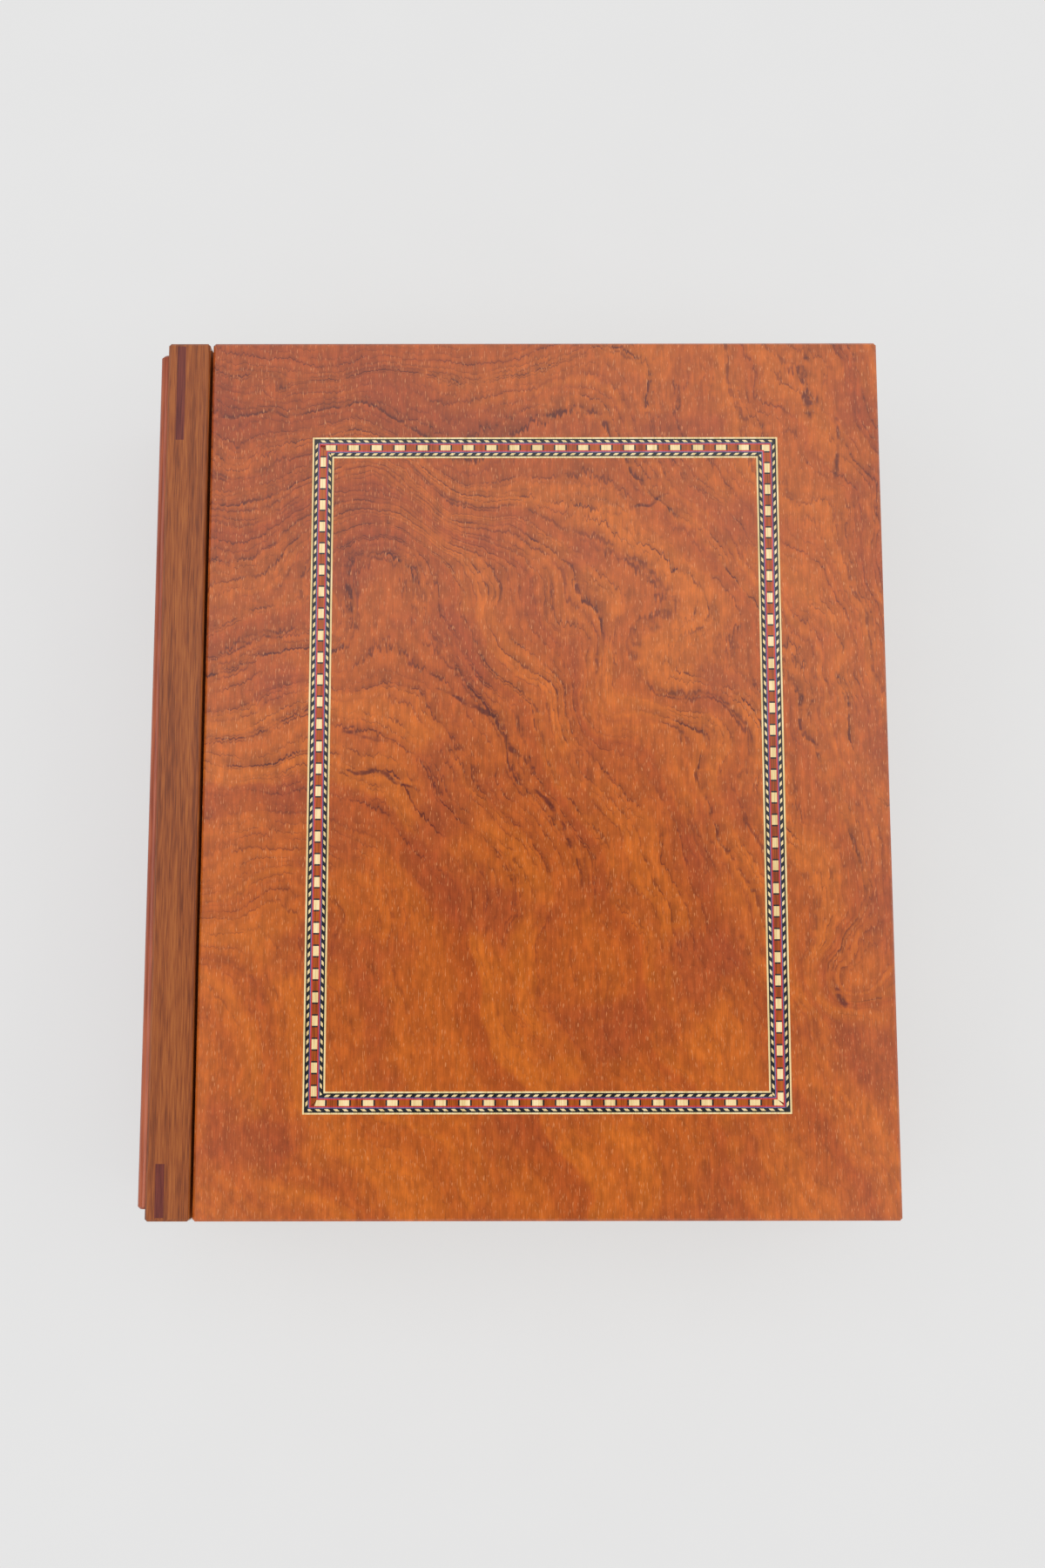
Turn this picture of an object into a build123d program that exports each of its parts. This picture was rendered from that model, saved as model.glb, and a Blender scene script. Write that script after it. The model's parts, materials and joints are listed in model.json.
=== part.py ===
from build123d import *
import os

# A cigar humidor made like a closed book that lies on its back cover.
# Millimetres. X runs from the spine to the fore edge, Y from the tail to the head, Z up.
# The origin is the middle of the whole box, on the surface that it lies on.

# Outside sizes
BOARD_WIDTH = 254.0
BOARD_LENGTH = 308.0
THICKNESS = 76.0
BOARD_THICKNESS = 11.0
FELT_THICKNESS = 1.0
FELT_INSET = 6.0
SPINE_BULGE = 6.2
SPINE_SHOULDER = 3.0
PLAN_ROUNDING = 1.2
EASED_EDGE = 0.8

# How far a cutter or a joined piece reaches past the face that it starts from
OVERLAP = 1.0

# Walls, which stand back from the covers as pages do
PAGE_INSET = 4.0
WALL = 9.0
FORE_EDGE_HOLLOW = 3.5
LID_GAP = 0.1

# Cedar inside
FLOOR_LINING = 3.0
LINING = 4.0
LID_LINING = 6.0
LID_LINING_CLEARANCE = 1.2

# Spine strip, joint and hinge
STRIP_WIDTH = 14.9
JOINT_GAP = 1.1
PIVOT_DEPTH = 3.0
BARREL_RADIUS = 1.5
PIN_RADIUS = 0.8
PIN_CLEARANCE = 0.05
LEAF = 0.9
LEAF_OFFSET = 0.1
KNUCKLES = 5
KNUCKLE_LENGTH = 55.4
KNUCKLE_GAP = 0.3
KNUCKLE_RELIEF = 0.3
RAIL_TOP_BELOW_PIVOT = 4.2
RAIL_HEIGHT = 22.0
CASE_LEAF_HEIGHT = 13.0

# Countersunk screws of the hinge
SCREWS_PER_LEAF = 3
SCREW_SPACING = 110.8
SCREW_ABOVE_LEAF_FOOT = 3.5
SCREW_SHANK_RADIUS = 1.0
SCREW_HEAD_RADIUS = 1.7
SCREW_HEAD_DEPTH = 0.7

# Keys let into the ends of the spine strip
KEY_WIDTH = 3.0
KEY_DEPTH = 1.5
KEY_FROM_SPINE_EDGE = 3.3
HEAD_KEY_LENGTH = 36.0
TAIL_KEY_LENGTH = 19.0
KEY_END_MARGIN = 1.2

# Inlay banding, from its outer edge inwards
BAND_MARGIN_X = 36.3
BAND_MARGIN_Y = 35.3
BAND_DEPTH = 1.0
LINE_WIDTH = 0.55
ROPE_WIDTH = 1.47
CORE_WIDTH = 3.56

# Catch magnets
CATCH_WIDTH = 5.0
CATCH_LENGTH = 20.0
CATCH_DEPTH = 3.0
CATCH_SPREAD = 120.0

# Sliding divider
DIVIDER = 4.0
DIVIDER_TOP = 45.0
DIVIDER_CLEARANCE = 0.2
DIVIDER_TRAVEL = 80.0
GROOVE_DEPTH = 2.0
GROOVE_HEIGHT = 4.4
GROOVE_ABOVE_FLOOR = 6.0
GROOVE_END_ROOM = 1.0
DIVIDER_SCOOP_RADIUS = 60.0
DIVIDER_SCOOP_DEPTH = 10.0

# Hygrometer, which hangs face down from the lid lining
HYGROMETER_Y = 70.0
HYGROMETER_HEIGHT = 9.5
METER_RADIUS = 22.0
METER_WALL = 1.5
BEZEL_RADIUS = 23.2
BEZEL_OPENING = 19.0
BEZEL_FACE = 1.5
BEZEL_BEVEL = 1.05
GLASS = 1.0
DIAL_FROM_GLASS = 2.6
DIAL = 0.6
COIL_ROOM_RADIUS = 10.0
METER_BACK = 2.5
SPINDLE_RADIUS = 0.7
DIAL_HOLE_RADIUS = 1.2
POINTER_LENGTH = 15.0
POINTER_TAIL = 5.0
POINTER_THICKNESS = 0.5
POINTER_TAIL_WIDTH = 2.4
POINTER_TIP_WIDTH = 0.4
POINTER_FROM_DIAL = 1.0
HUB_RADIUS = 2.0
HUB_BOSS = 0.5
COUNTERWEIGHT_RADIUS = 1.8
SPINDLE_ROOT = 0.1
SPINDLE_END_PLAY = 0.1
METER_MAGNET_RADIUS = 9.0
MAGNET_DEPTH = 1.3
COIL_HALF_TURNS = 3
COIL_PITCH = 2.0
COIL_STRIP = 0.35
COIL_INNER_RADIUS = 2.0
COIL_HEIGHT = 1.2

# Humidifier, beside the hygrometer
HUMIDIFIER_Y = -45.0
HUMIDIFIER_LENGTH = 130.0
HUMIDIFIER_WIDTH = 44.0
HUMIDIFIER_HEIGHT = 12.0
HUMIDIFIER_CORNER = 7.0
HUMIDIFIER_WALL = 1.6
COVER = 1.6
COVER_LEDGE = 1.0
PAD_CLEARANCE = 0.3
SLOTS = 13
SLOT_SPACING = 8.0
SLOT_WIDTH = 3.0
SLOT_LENGTH = 14.0
SLOT_ROW_OFFSET = 9.0
HUMIDIFIER_MAGNET_LENGTH = 20.0
HUMIDIFIER_MAGNET_WIDTH = 10.0
HUMIDIFIER_MAGNET_SPREAD = 80.0
KEEPER_RADIUS = 8.0

# Heights
BACK_TOP = FELT_THICKNESS + BOARD_THICKNESS
FLOOR_TOP = BACK_TOP + FLOOR_LINING
LID_BOTTOM = THICKNESS - BOARD_THICKNESS
RIM = LID_BOTTOM - LID_GAP
LINING_BOTTOM = LID_BOTTOM - LID_LINING
PIVOT_Z = THICKNESS - PIVOT_DEPTH
RAIL_TOP = PIVOT_Z - RAIL_TOP_BELOW_PIVOT

# Places across the box
SPINE_EDGE = SPINE_BULGE - (BOARD_WIDTH + SPINE_BULGE) / 2
FORE_EDGE = SPINE_EDGE + BOARD_WIDTH
STRIP_RIGHT = SPINE_EDGE + STRIP_WIDTH
LID_LEFT = STRIP_RIGHT + JOINT_GAP
PIVOT_X = LID_LEFT + PIVOT_DEPTH
RAIL_RIGHT = PIVOT_X - LEAF_OFFSET - LEAF
REBATE_RIGHT = PIVOT_X + LEAF_OFFSET + LEAF
PAGE_RIGHT = FORE_EDGE - PAGE_INSET
WELL_LEFT = RAIL_RIGHT + LINING
WELL_RIGHT = PAGE_RIGHT - WALL - LINING
WELL_MIDDLE = (WELL_LEFT + WELL_RIGHT) / 2

# Places along the box
HALF_LENGTH = BOARD_LENGTH / 2
PAGE_HALF = HALF_LENGTH - PAGE_INSET
WALL_INNER_HALF = PAGE_HALF - WALL
WELL_HALF = WALL_INNER_HALF - LINING
HINGE_LENGTH = KNUCKLES * KNUCKLE_LENGTH


def block(x, y, z):
    """A box between two limits on each axis."""
    size = [high - low for low, high in (x, y, z)]
    middle = [(high + low) / 2 for low, high in (x, y, z)]
    return Pos(*middle) * Box(*size)


def both(half):
    """The limits of a span that is centred on zero."""
    return (-half, half)


def disc(radius, z, x=0.0, y=0.0):
    """An upright cylinder between two heights."""
    return Pos(x, y, (z[0] + z[1]) / 2) * Cylinder(radius, z[1] - z[0])


def rod_along_y(radius, y, x=PIVOT_X, z=PIVOT_Z):
    """A cylinder along Y, on the hinge's line unless another place is given."""
    middle = Pos(x, (y[0] + y[1]) / 2, z)
    return middle * Rot(90, 0, 0) * Cylinder(radius, y[1] - y[0])


def without(body, cutters):
    """The body with each of the cutters taken out of it."""
    for cutter in cutters:
        body -= cutter
    return body


def rounded_plate(x, y, z, corner):
    """A plate with rounded corners in plan."""
    outline = RectangleRounded(x[1] - x[0], y[1] - y[0], corner)
    return extrude(Pos((x[0] + x[1]) / 2, (y[0] + y[1]) / 2, z[0]) * outline, z[1] - z[0])


def cover_board(x, z):
    """A cover of the book: a board with every arris eased."""
    return chamfer(block(x, both(HALF_LENGTH), z).edges(), EASED_EDGE)


def base_felt():
    x = (SPINE_EDGE + FELT_INSET, FORE_EDGE - FELT_INSET)
    y = both(HALF_LENGTH - FELT_INSET)
    return rounded_plate(x, y, (0, FELT_THICKNESS), PLAN_ROUNDING)


def back_cover():
    return cover_board((SPINE_EDGE, FORE_EDGE), (FELT_THICKNESS, BACK_TOP))


def spine_moulding():
    """The rounded back of the book: one long arc between two small shoulders, all tangent."""
    half_height = (THICKNESS - FELT_THICKNESS) / 2 - EASED_EDGE
    middle = (THICKNESS + FELT_THICKNESS) / 2
    shoulder_z = half_height - SPINE_SHOULDER
    rise = SPINE_BULGE - SPINE_SHOULDER
    back_radius = (SPINE_BULGE**2 + shoulder_z**2 - SPINE_SHOULDER**2) / (2 * rise)
    back_centre = back_radius - SPINE_BULGE
    turn = Vector(-back_centre, shoulder_z).normalized()
    joint = Vector(0, shoulder_z) + turn * SPINE_SHOULDER
    lower_joint = Vector(joint.X, -joint.Y)
    outline = [
        TangentArc((0, half_height), joint, tangent=(-1, 0)),
        ThreePointArc(joint, (-SPINE_BULGE, 0), lower_joint),
        TangentArc((0, -half_height), lower_joint, tangent=(-1, 0)),
        Line((0, -half_height), (0, half_height)),
    ]
    place = Plane(origin=(SPINE_EDGE, PAGE_HALF, middle), x_dir=(1, 0, 0), z_dir=(0, -1, 0))
    spine = extrude(place * make_face(outline), 2 * PAGE_HALF)
    ends = spine.faces().filter_by(Axis.Y)
    arcs = [edge for face in ends for edge in face.edges().filter_by(GeomType.CIRCLE)]
    return chamfer(arcs, EASED_EDGE)


def key_places():
    """The Y limits of the two keys, which run in from the strip's ends."""
    head = (HALF_LENGTH - HEAD_KEY_LENGTH, HALF_LENGTH - KEY_END_MARGIN)
    tail = (-HALF_LENGTH + KEY_END_MARGIN, -HALF_LENGTH + TAIL_KEY_LENGTH)
    return (head, tail)


def strip_keys():
    left = SPINE_EDGE + KEY_FROM_SPINE_EDGE
    x = (left, left + KEY_WIDTH)
    z = (THICKNESS - KEY_DEPTH, THICKNESS)
    return [block(x, y, z) for y in key_places()]


def spine_strip():
    board = block((SPINE_EDGE, STRIP_RIGHT), both(HALF_LENGTH), (RIM, THICKNESS))
    top = board.faces().sort_by(Axis.Z)[-1]
    board = chamfer(board.edges().filter_by(Axis.Z) + top.edges(), EASED_EDGE)
    for key in strip_keys():
        board -= key
    return board


def fore_edge_hollow():
    """The long cylinder that makes the fore edge hollow, as on a rounded book."""
    half_height = (RIM - BACK_TOP) / 2
    radius = (half_height**2 + FORE_EDGE_HOLLOW**2) / (2 * FORE_EDGE_HOLLOW)
    x = PAGE_RIGHT - FORE_EDGE_HOLLOW + radius
    return rod_along_y(radius, both(HALF_LENGTH), x, (RIM + BACK_TOP) / 2)


def wall_from_plan(corners):
    plan = make_face(Polyline(*corners, close=True))
    return extrude(Pos(0, 0, BACK_TOP) * plan, RIM - BACK_TOP)


def end_wall(side):
    """The head wall (side 1) or the tail wall (side -1), mitred at the fore edge."""
    outer = side * PAGE_HALF
    inner = side * WALL_INNER_HALF
    corners = [
        (SPINE_EDGE, outer),
        (PAGE_RIGHT, outer),
        (PAGE_RIGHT - WALL, inner),
        (SPINE_EDGE, inner),
    ]
    return wall_from_plan(corners) - fore_edge_hollow()


def fore_edge_wall():
    inner = PAGE_RIGHT - WALL
    corners = [
        (PAGE_RIGHT, -PAGE_HALF),
        (PAGE_RIGHT, PAGE_HALF),
        (inner, WALL_INNER_HALF),
        (inner, -WALL_INNER_HALF),
    ]
    wall = wall_from_plan(corners) - fore_edge_hollow()
    for magnet in case_magnets():
        wall -= magnet
    return wall


def spine_wall():
    return block((SPINE_EDGE, STRIP_RIGHT), both(WALL_INNER_HALF), (BACK_TOP, RIM))


def floor_lining():
    x = (STRIP_RIGHT, PAGE_RIGHT - WALL)
    return block(x, both(WALL_INNER_HALF), (BACK_TOP, FLOOR_TOP))


def divider_groove(side):
    """The slot in an end lining that the divider's tongue runs in."""
    reach = DIVIDER_TRAVEL + DIVIDER / 2 + GROOVE_END_ROOM
    z = FLOOR_TOP + GROOVE_ABOVE_FLOOR
    y = sorted((side * (WELL_HALF - OVERLAP), side * (WELL_HALF + GROOVE_DEPTH)))
    x = (WELL_MIDDLE - reach, WELL_MIDDLE + reach)
    return block(x, y, (z, z + GROOVE_HEIGHT))


def hinge_rebates(y):
    """The room for the hinge rail and the case leaf, cut from the backs of the linings."""
    rail = block((STRIP_RIGHT, RAIL_RIGHT), y, (RAIL_TOP - RAIL_HEIGHT, RIM))
    leaf = block((STRIP_RIGHT, PIVOT_X - LEAF_OFFSET), y, (PIVOT_Z - CASE_LEAF_HEIGHT, RIM))
    return [rail, leaf]


def end_lining(side):
    x = (STRIP_RIGHT, PAGE_RIGHT - WALL)
    y = sorted((side * WELL_HALF, side * WALL_INNER_HALF))
    board = block(x, y, (FLOOR_TOP, RIM))
    return without(board, hinge_rebates(y)) - divider_groove(side)


def fore_lining():
    x = (WELL_RIGHT, WELL_RIGHT + LINING)
    return block(x, both(WELL_HALF), (FLOOR_TOP, RIM))


def spine_lining():
    """The board on the spine side, rebated behind for the hinge."""
    board = block((STRIP_RIGHT, WELL_LEFT), both(WELL_HALF), (FLOOR_TOP, RIM))
    return without(board, hinge_rebates(both(WELL_HALF)))


def knuckle_span(number):
    """The Y limits of one knuckle, counted from the tail."""
    start = -HINGE_LENGTH / 2 + number * KNUCKLE_LENGTH
    return (start + KNUCKLE_GAP / 2, start + KNUCKLE_LENGTH - KNUCKLE_GAP / 2)


def hinge_leaf(x, z, first_knuckle, bore_radius):
    """A leaf with every second knuckle rolled on its upper edge."""
    leaf = block(x, both(HINGE_LENGTH / 2 - KNUCKLE_GAP / 2), z)
    for number in range(1 - first_knuckle, KNUCKLES, 2):
        span = knuckle_span(number)
        wide = (span[0] - KNUCKLE_GAP, span[1] + KNUCKLE_GAP)
        leaf -= block(x, wide, (PIVOT_Z - BARREL_RADIUS - KNUCKLE_RELIEF, PIVOT_Z))
    for number in range(first_knuckle, KNUCKLES, 2):
        leaf += rod_along_y(BARREL_RADIUS, knuckle_span(number))
    return leaf - rod_along_y(bore_radius, both(HALF_LENGTH))


def screw_places():
    first = -SCREW_SPACING * (SCREWS_PER_LEAF - 1) / 2
    return [first + SCREW_SPACING * number for number in range(SCREWS_PER_LEAF)]


def hinge_screw(x, y, z, direction):
    """The countersunk head of a screw that faces the joint, in the case leaf (-1) or the lid's (1)."""
    head = Cone(SCREW_HEAD_RADIUS, SCREW_SHANK_RADIUS, SCREW_HEAD_DEPTH)
    lifted = Pos(0, 0, SCREW_HEAD_DEPTH / 2) * head
    return Pos(x, y, z) * Rot(0, direction * 90, 0) * lifted


def case_screws():
    z = PIVOT_Z - CASE_LEAF_HEIGHT + SCREW_ABOVE_LEAF_FOOT
    return [hinge_screw(PIVOT_X - LEAF_OFFSET, y, z, -1) for y in screw_places()]


def lid_screws():
    z = (LID_BOTTOM + PIVOT_Z - BARREL_RADIUS) / 2
    return [hinge_screw(PIVOT_X + LEAF_OFFSET, y, z, 1) for y in screw_places()]


def hinge_leaf_case():
    x = (RAIL_RIGHT, PIVOT_X - LEAF_OFFSET)
    leaf = hinge_leaf(x, (PIVOT_Z - CASE_LEAF_HEIGHT, PIVOT_Z), 0, PIN_RADIUS)
    return without(leaf, case_screws())


def hinge_leaf_lid():
    x = (PIVOT_X + LEAF_OFFSET, REBATE_RIGHT)
    leaf = hinge_leaf(x, (LID_BOTTOM + LID_GAP, PIVOT_Z), 1, PIN_RADIUS + PIN_CLEARANCE)
    return without(leaf, lid_screws())


def hinge_pin():
    return rod_along_y(PIN_RADIUS, both(HINGE_LENGTH / 2))


def hinge_rail():
    """The rail beside the strip that the hinge is fixed to; its top runs out to the board's ends."""
    x = (STRIP_RIGHT, RAIL_RIGHT)
    foot = block(x, both(WALL_INNER_HALF), (RAIL_TOP - RAIL_HEIGHT, RIM))
    return foot + block(x, both(HALF_LENGTH), (RIM, RAIL_TOP))


def banding_frame(outer_offset, width):
    """Four mitred lengths that make one line of the banding."""
    left = LID_LEFT + BAND_MARGIN_X + outer_offset
    right = FORE_EDGE - BAND_MARGIN_X - outer_offset
    half = HALF_LENGTH - BAND_MARGIN_Y - outer_offset
    outer = [(left, -half), (right, -half), (right, half), (left, half)]
    inner = [
        (left + width, -half + width),
        (right - width, -half + width),
        (right - width, half - width),
        (left + width, half - width),
    ]
    lengths = []
    for number in range(4):
        after = (number + 1) % 4
        corners = (outer[number], outer[after], inner[after], inner[number])
        plan = make_face(Polyline(*corners, close=True))
        lengths.append(extrude(Pos(0, 0, THICKNESS - BAND_DEPTH) * plan, BAND_DEPTH))
    return lengths


def banding():
    """Each line of the banding by name, from the outside in."""
    widths = (
        ("banding_outer_line", LINE_WIDTH),
        ("banding_outer_rope", ROPE_WIDTH),
        ("banding_chequer_core", CORE_WIDTH),
        ("banding_inner_rope", ROPE_WIDTH),
        ("banding_inner_line", LINE_WIDTH),
    )
    lines = {}
    offset = 0.0
    for name, width in widths:
        lines[name] = banding_frame(offset, width)
        offset += width
    return lines


def lid_board():
    """The front cover, rebated under its spine edge for the hinge and grooved for the banding."""
    lid = cover_board((LID_LEFT, FORE_EDGE), (LID_BOTTOM, THICKNESS))
    relief = BARREL_RADIUS + KNUCKLE_RELIEF
    lid -= block((LID_LEFT - OVERLAP, REBATE_RIGHT), both(HALF_LENGTH), (LID_BOTTOM, PIVOT_Z + relief))
    lid -= rod_along_y(relief, both(HALF_LENGTH))
    band_width = 2 * LINE_WIDTH + 2 * ROPE_WIDTH + CORE_WIDTH
    lid = without(lid, banding_frame(0.0, band_width))
    return without(lid, lid_magnets())


def lid_lining():
    x = (WELL_LEFT + LID_LINING_CLEARANCE, WELL_RIGHT - LID_LINING_CLEARANCE)
    y = both(WELL_HALF - LID_LINING_CLEARANCE)
    panel = rounded_plate(x, y, (LINING_BOTTOM, LID_BOTTOM), PLAN_ROUNDING)
    lower = panel.faces().sort_by(Axis.Z)[0]
    panel = chamfer(lower.edges(), EASED_EDGE)
    return without(panel, steel_discs())


def catch_magnets(z):
    """Two bar magnets, let in flush along the middle of the fore-edge wall."""
    middle = PAGE_RIGHT - WALL / 2
    x = (middle - CATCH_WIDTH / 2, middle + CATCH_WIDTH / 2)
    spans = [(y - CATCH_LENGTH / 2, y + CATCH_LENGTH / 2) for y in both(CATCH_SPREAD / 2)]
    return [block(x, span, z) for span in spans]


def case_magnets():
    return catch_magnets((RIM - CATCH_DEPTH, RIM))


def lid_magnets():
    return catch_magnets((LID_BOTTOM, LID_BOTTOM + CATCH_DEPTH))


def humidifier_magnet_places():
    return [WELL_MIDDLE + side * HUMIDIFIER_MAGNET_SPREAD / 2 for side in (-1, 1)]


def steel_discs():
    z = (LINING_BOTTOM, LINING_BOTTOM + MAGNET_DEPTH)
    discs = [disc(METER_MAGNET_RADIUS, z, WELL_MIDDLE, HYGROMETER_Y)]
    for x in humidifier_magnet_places():
        discs.append(disc(KEEPER_RADIUS, z, x, HUMIDIFIER_Y))
    return discs


def divider():
    """The cedar divider: finger scoop above, a tongue at each end below."""
    x = (WELL_MIDDLE - DIVIDER / 2, WELL_MIDDLE + DIVIDER / 2)
    y = both(WELL_HALF - DIVIDER_CLEARANCE)
    board = block(x, y, (FLOOR_TOP + DIVIDER_CLEARANCE, DIVIDER_TOP))
    scoop_z = DIVIDER_TOP - DIVIDER_SCOOP_DEPTH + DIVIDER_SCOOP_RADIUS
    scoop = Pos(WELL_MIDDLE, 0, scoop_z) * Rot(0, 90, 0) * Cylinder(DIVIDER_SCOOP_RADIUS, 3 * DIVIDER)
    board -= scoop
    tongue_reach = WELL_HALF + GROOVE_DEPTH - DIVIDER_CLEARANCE
    z = FLOOR_TOP + GROOVE_ABOVE_FLOOR + DIVIDER_CLEARANCE
    for side in (-1, 1):
        y = sorted((side * (WELL_HALF - OVERLAP), side * tongue_reach))
        board += block(x, y, (z, z + GROOVE_HEIGHT - 2 * DIVIDER_CLEARANCE))
    return board


def at_meter(shape):
    return Pos(WELL_MIDDLE, HYGROMETER_Y, 0) * shape


# Heights in the hygrometer, counted up from its face
METER_FACE = LINING_BOTTOM - HYGROMETER_HEIGHT
GLASS_BOTTOM = METER_FACE + BEZEL_FACE
DIAL_BOTTOM = GLASS_BOTTOM + GLASS + DIAL_FROM_GLASS
DIAL_TOP = DIAL_BOTTOM + DIAL
METER_INSIDE_TOP = LINING_BOTTOM - METER_BACK
METER_BORE = METER_RADIUS - METER_WALL


def hygrometer_case():
    """A turned cup with a ledge that the dial sits on and a smaller room behind for the coil."""
    cup = disc(METER_RADIUS, (GLASS_BOTTOM, LINING_BOTTOM))
    cup -= disc(METER_BORE, (GLASS_BOTTOM, DIAL_TOP))
    cup -= disc(COIL_ROOM_RADIUS, (DIAL_TOP, METER_INSIDE_TOP))
    cup -= disc(METER_MAGNET_RADIUS, (LINING_BOTTOM - MAGNET_DEPTH, LINING_BOTTOM))
    return at_meter(cup)


def hygrometer_bezel():
    """A bevelled ring that sits on the end of the case and holds the glass in it."""
    ring = disc(BEZEL_RADIUS, (METER_FACE, GLASS_BOTTOM))
    ring = chamfer(ring.edges().sort_by(Axis.Z)[0], BEZEL_BEVEL)
    return at_meter(ring - disc(BEZEL_OPENING, (METER_FACE, GLASS_BOTTOM)))


def hygrometer_glass():
    return at_meter(disc(METER_BORE, (GLASS_BOTTOM, GLASS_BOTTOM + GLASS)))


def hygrometer_dial():
    face = disc(METER_BORE, (DIAL_BOTTOM, DIAL_TOP))
    return at_meter(face - disc(DIAL_HOLE_RADIUS, (DIAL_BOTTOM, DIAL_TOP)))


def hygrometer_magnet():
    return at_meter(disc(METER_MAGNET_RADIUS, (LINING_BOTTOM - MAGNET_DEPTH, LINING_BOTTOM)))


def hygrometer_pointer():
    """The pointer, towards the fore edge, with its counterweight and spindle, which turn together."""
    z = DIAL_BOTTOM - POINTER_FROM_DIAL
    tail = [(x, -POINTER_TAIL) for x in both(POINTER_TAIL_WIDTH / 2)]
    tip = [(-x, POINTER_LENGTH) for x in both(POINTER_TIP_WIDTH / 2)]
    outline = make_face(Polyline(*tail, *tip, close=True))
    blade = extrude(Pos(0, 0, z - POINTER_THICKNESS) * outline, POINTER_THICKNESS)
    hub = disc(HUB_RADIUS, (z - POINTER_THICKNESS - HUB_BOSS, z))
    spindle = disc(SPINDLE_RADIUS, (z - SPINDLE_ROOT, METER_INSIDE_TOP - SPINDLE_END_PLAY))
    weight = disc(COUNTERWEIGHT_RADIUS, (z - POINTER_THICKNESS, z), 0, -POINTER_TAIL)
    return at_meter(Rot(0, 0, -90) * (blade + hub + spindle + weight))


def hygrometer_coil():
    """The humidity-sensing spiral behind the dial, half turns joined end to end."""
    radius = COIL_INNER_RADIUS
    centre = 0.0
    step = COIL_PITCH / 2
    spiral = []
    for half_turn in range(COIL_HALF_TURNS):
        upper = half_turn % 2 == 0
        spiral.append(CenterArc((centre, 0), radius, 0 if upper else 180, 180))
        centre += -step if upper else step
        radius += step
    z = (DIAL_TOP + METER_INSIDE_TOP - COIL_HEIGHT) / 2
    strip = trace(spiral, COIL_STRIP)
    return at_meter(extrude(Pos(0, 0, z) * strip, COIL_HEIGHT))


def humidifier_plate(inset, z):
    """A plate of the humidifier's outline, drawn in all round by the inset."""
    half_x = HUMIDIFIER_LENGTH / 2 - inset
    half_y = HUMIDIFIER_WIDTH / 2 - inset
    return rounded_plate(both(half_x), both(half_y), z, HUMIDIFIER_CORNER - inset)


def at_humidifier(shape):
    return Pos(WELL_MIDDLE, HUMIDIFIER_Y, 0) * shape


HUMIDIFIER_FACE = LINING_BOTTOM - HUMIDIFIER_HEIGHT
HUMIDIFIER_INSIDE_TOP = LINING_BOTTOM - METER_BACK


def humidifier_magnets():
    """Two bar magnets, let in flush at the back of the humidifier."""
    half_length = HUMIDIFIER_MAGNET_LENGTH / 2
    half_width = HUMIDIFIER_MAGNET_WIDTH / 2
    y = (HUMIDIFIER_Y - half_width, HUMIDIFIER_Y + half_width)
    z = (LINING_BOTTOM - MAGNET_DEPTH, LINING_BOTTOM)
    return [block((x - half_length, x + half_length), y, z) for x in humidifier_magnet_places()]


def humidifier_case():
    body = humidifier_plate(0.0, (HUMIDIFIER_FACE, LINING_BOTTOM))
    body -= humidifier_plate(HUMIDIFIER_WALL, (HUMIDIFIER_FACE, HUMIDIFIER_FACE + COVER))
    inner = (HUMIDIFIER_FACE + COVER, HUMIDIFIER_INSIDE_TOP)
    body -= humidifier_plate(HUMIDIFIER_WALL + COVER_LEDGE, inner)
    return without(at_humidifier(body), humidifier_magnets())


def humidifier_cover():
    """The snap-in cover with two rows of slots that let the moisture out."""
    z = (HUMIDIFIER_FACE, HUMIDIFIER_FACE + COVER)
    plate = humidifier_plate(HUMIDIFIER_WALL, z)
    for number in range(SLOTS):
        x = (number - (SLOTS - 1) / 2) * SLOT_SPACING
        for y in both(SLOT_ROW_OFFSET):
            slot_x = (x - SLOT_WIDTH / 2, x + SLOT_WIDTH / 2)
            slot_y = (y - SLOT_LENGTH / 2, y + SLOT_LENGTH / 2)
            plate -= block(slot_x, slot_y, z)
    return at_humidifier(plate)


def humidifier_pad():
    z = (HUMIDIFIER_FACE + COVER, HUMIDIFIER_INSIDE_TOP)
    return at_humidifier(humidifier_plate(HUMIDIFIER_WALL + COVER_LEDGE + PAD_CLEARANCE, z))


def pieces():
    """Every piece by its node's name; a list is a group of separate solids."""
    made = {
        "base_felt": base_felt(),
        "back_cover": back_cover(),
        "spine_moulding": spine_moulding(),
        "spine_strip": spine_strip(),
        "spine_strip_keys": strip_keys(),
        "spine_wall": spine_wall(),
        "head_wall": end_wall(1),
        "tail_wall": end_wall(-1),
        "fore_edge_wall": fore_edge_wall(),
        "floor_lining": floor_lining(),
        "head_lining": end_lining(1),
        "tail_lining": end_lining(-1),
        "fore_edge_lining": fore_lining(),
        "spine_lining": spine_lining(),
        "hinge_rail": hinge_rail(),
        "hinge_leaf_case": hinge_leaf_case(),
        "hinge_leaf_lid": hinge_leaf_lid(),
        "hinge_pin": hinge_pin(),
        "hinge_screws_case": case_screws(),
        "hinge_screws_lid": lid_screws(),
        "case_catch_magnets": case_magnets(),
        "lid_catch_magnets": lid_magnets(),
        "lid_board": lid_board(),
        "lid_lining": lid_lining(),
        "lid_steel_discs": steel_discs(),
        "divider": divider(),
        "hygrometer_case": hygrometer_case(),
        "hygrometer_bezel": hygrometer_bezel(),
        "hygrometer_glass": hygrometer_glass(),
        "hygrometer_dial": hygrometer_dial(),
        "hygrometer_coil": hygrometer_coil(),
        "hygrometer_pointer": hygrometer_pointer(),
        "hygrometer_magnet": hygrometer_magnet(),
        "humidifier_case": humidifier_case(),
        "humidifier_cover": humidifier_cover(),
        "humidifier_pad": humidifier_pad(),
        "humidifier_magnets": humidifier_magnets(),
    }
    made.update(banding())
    return made


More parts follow.
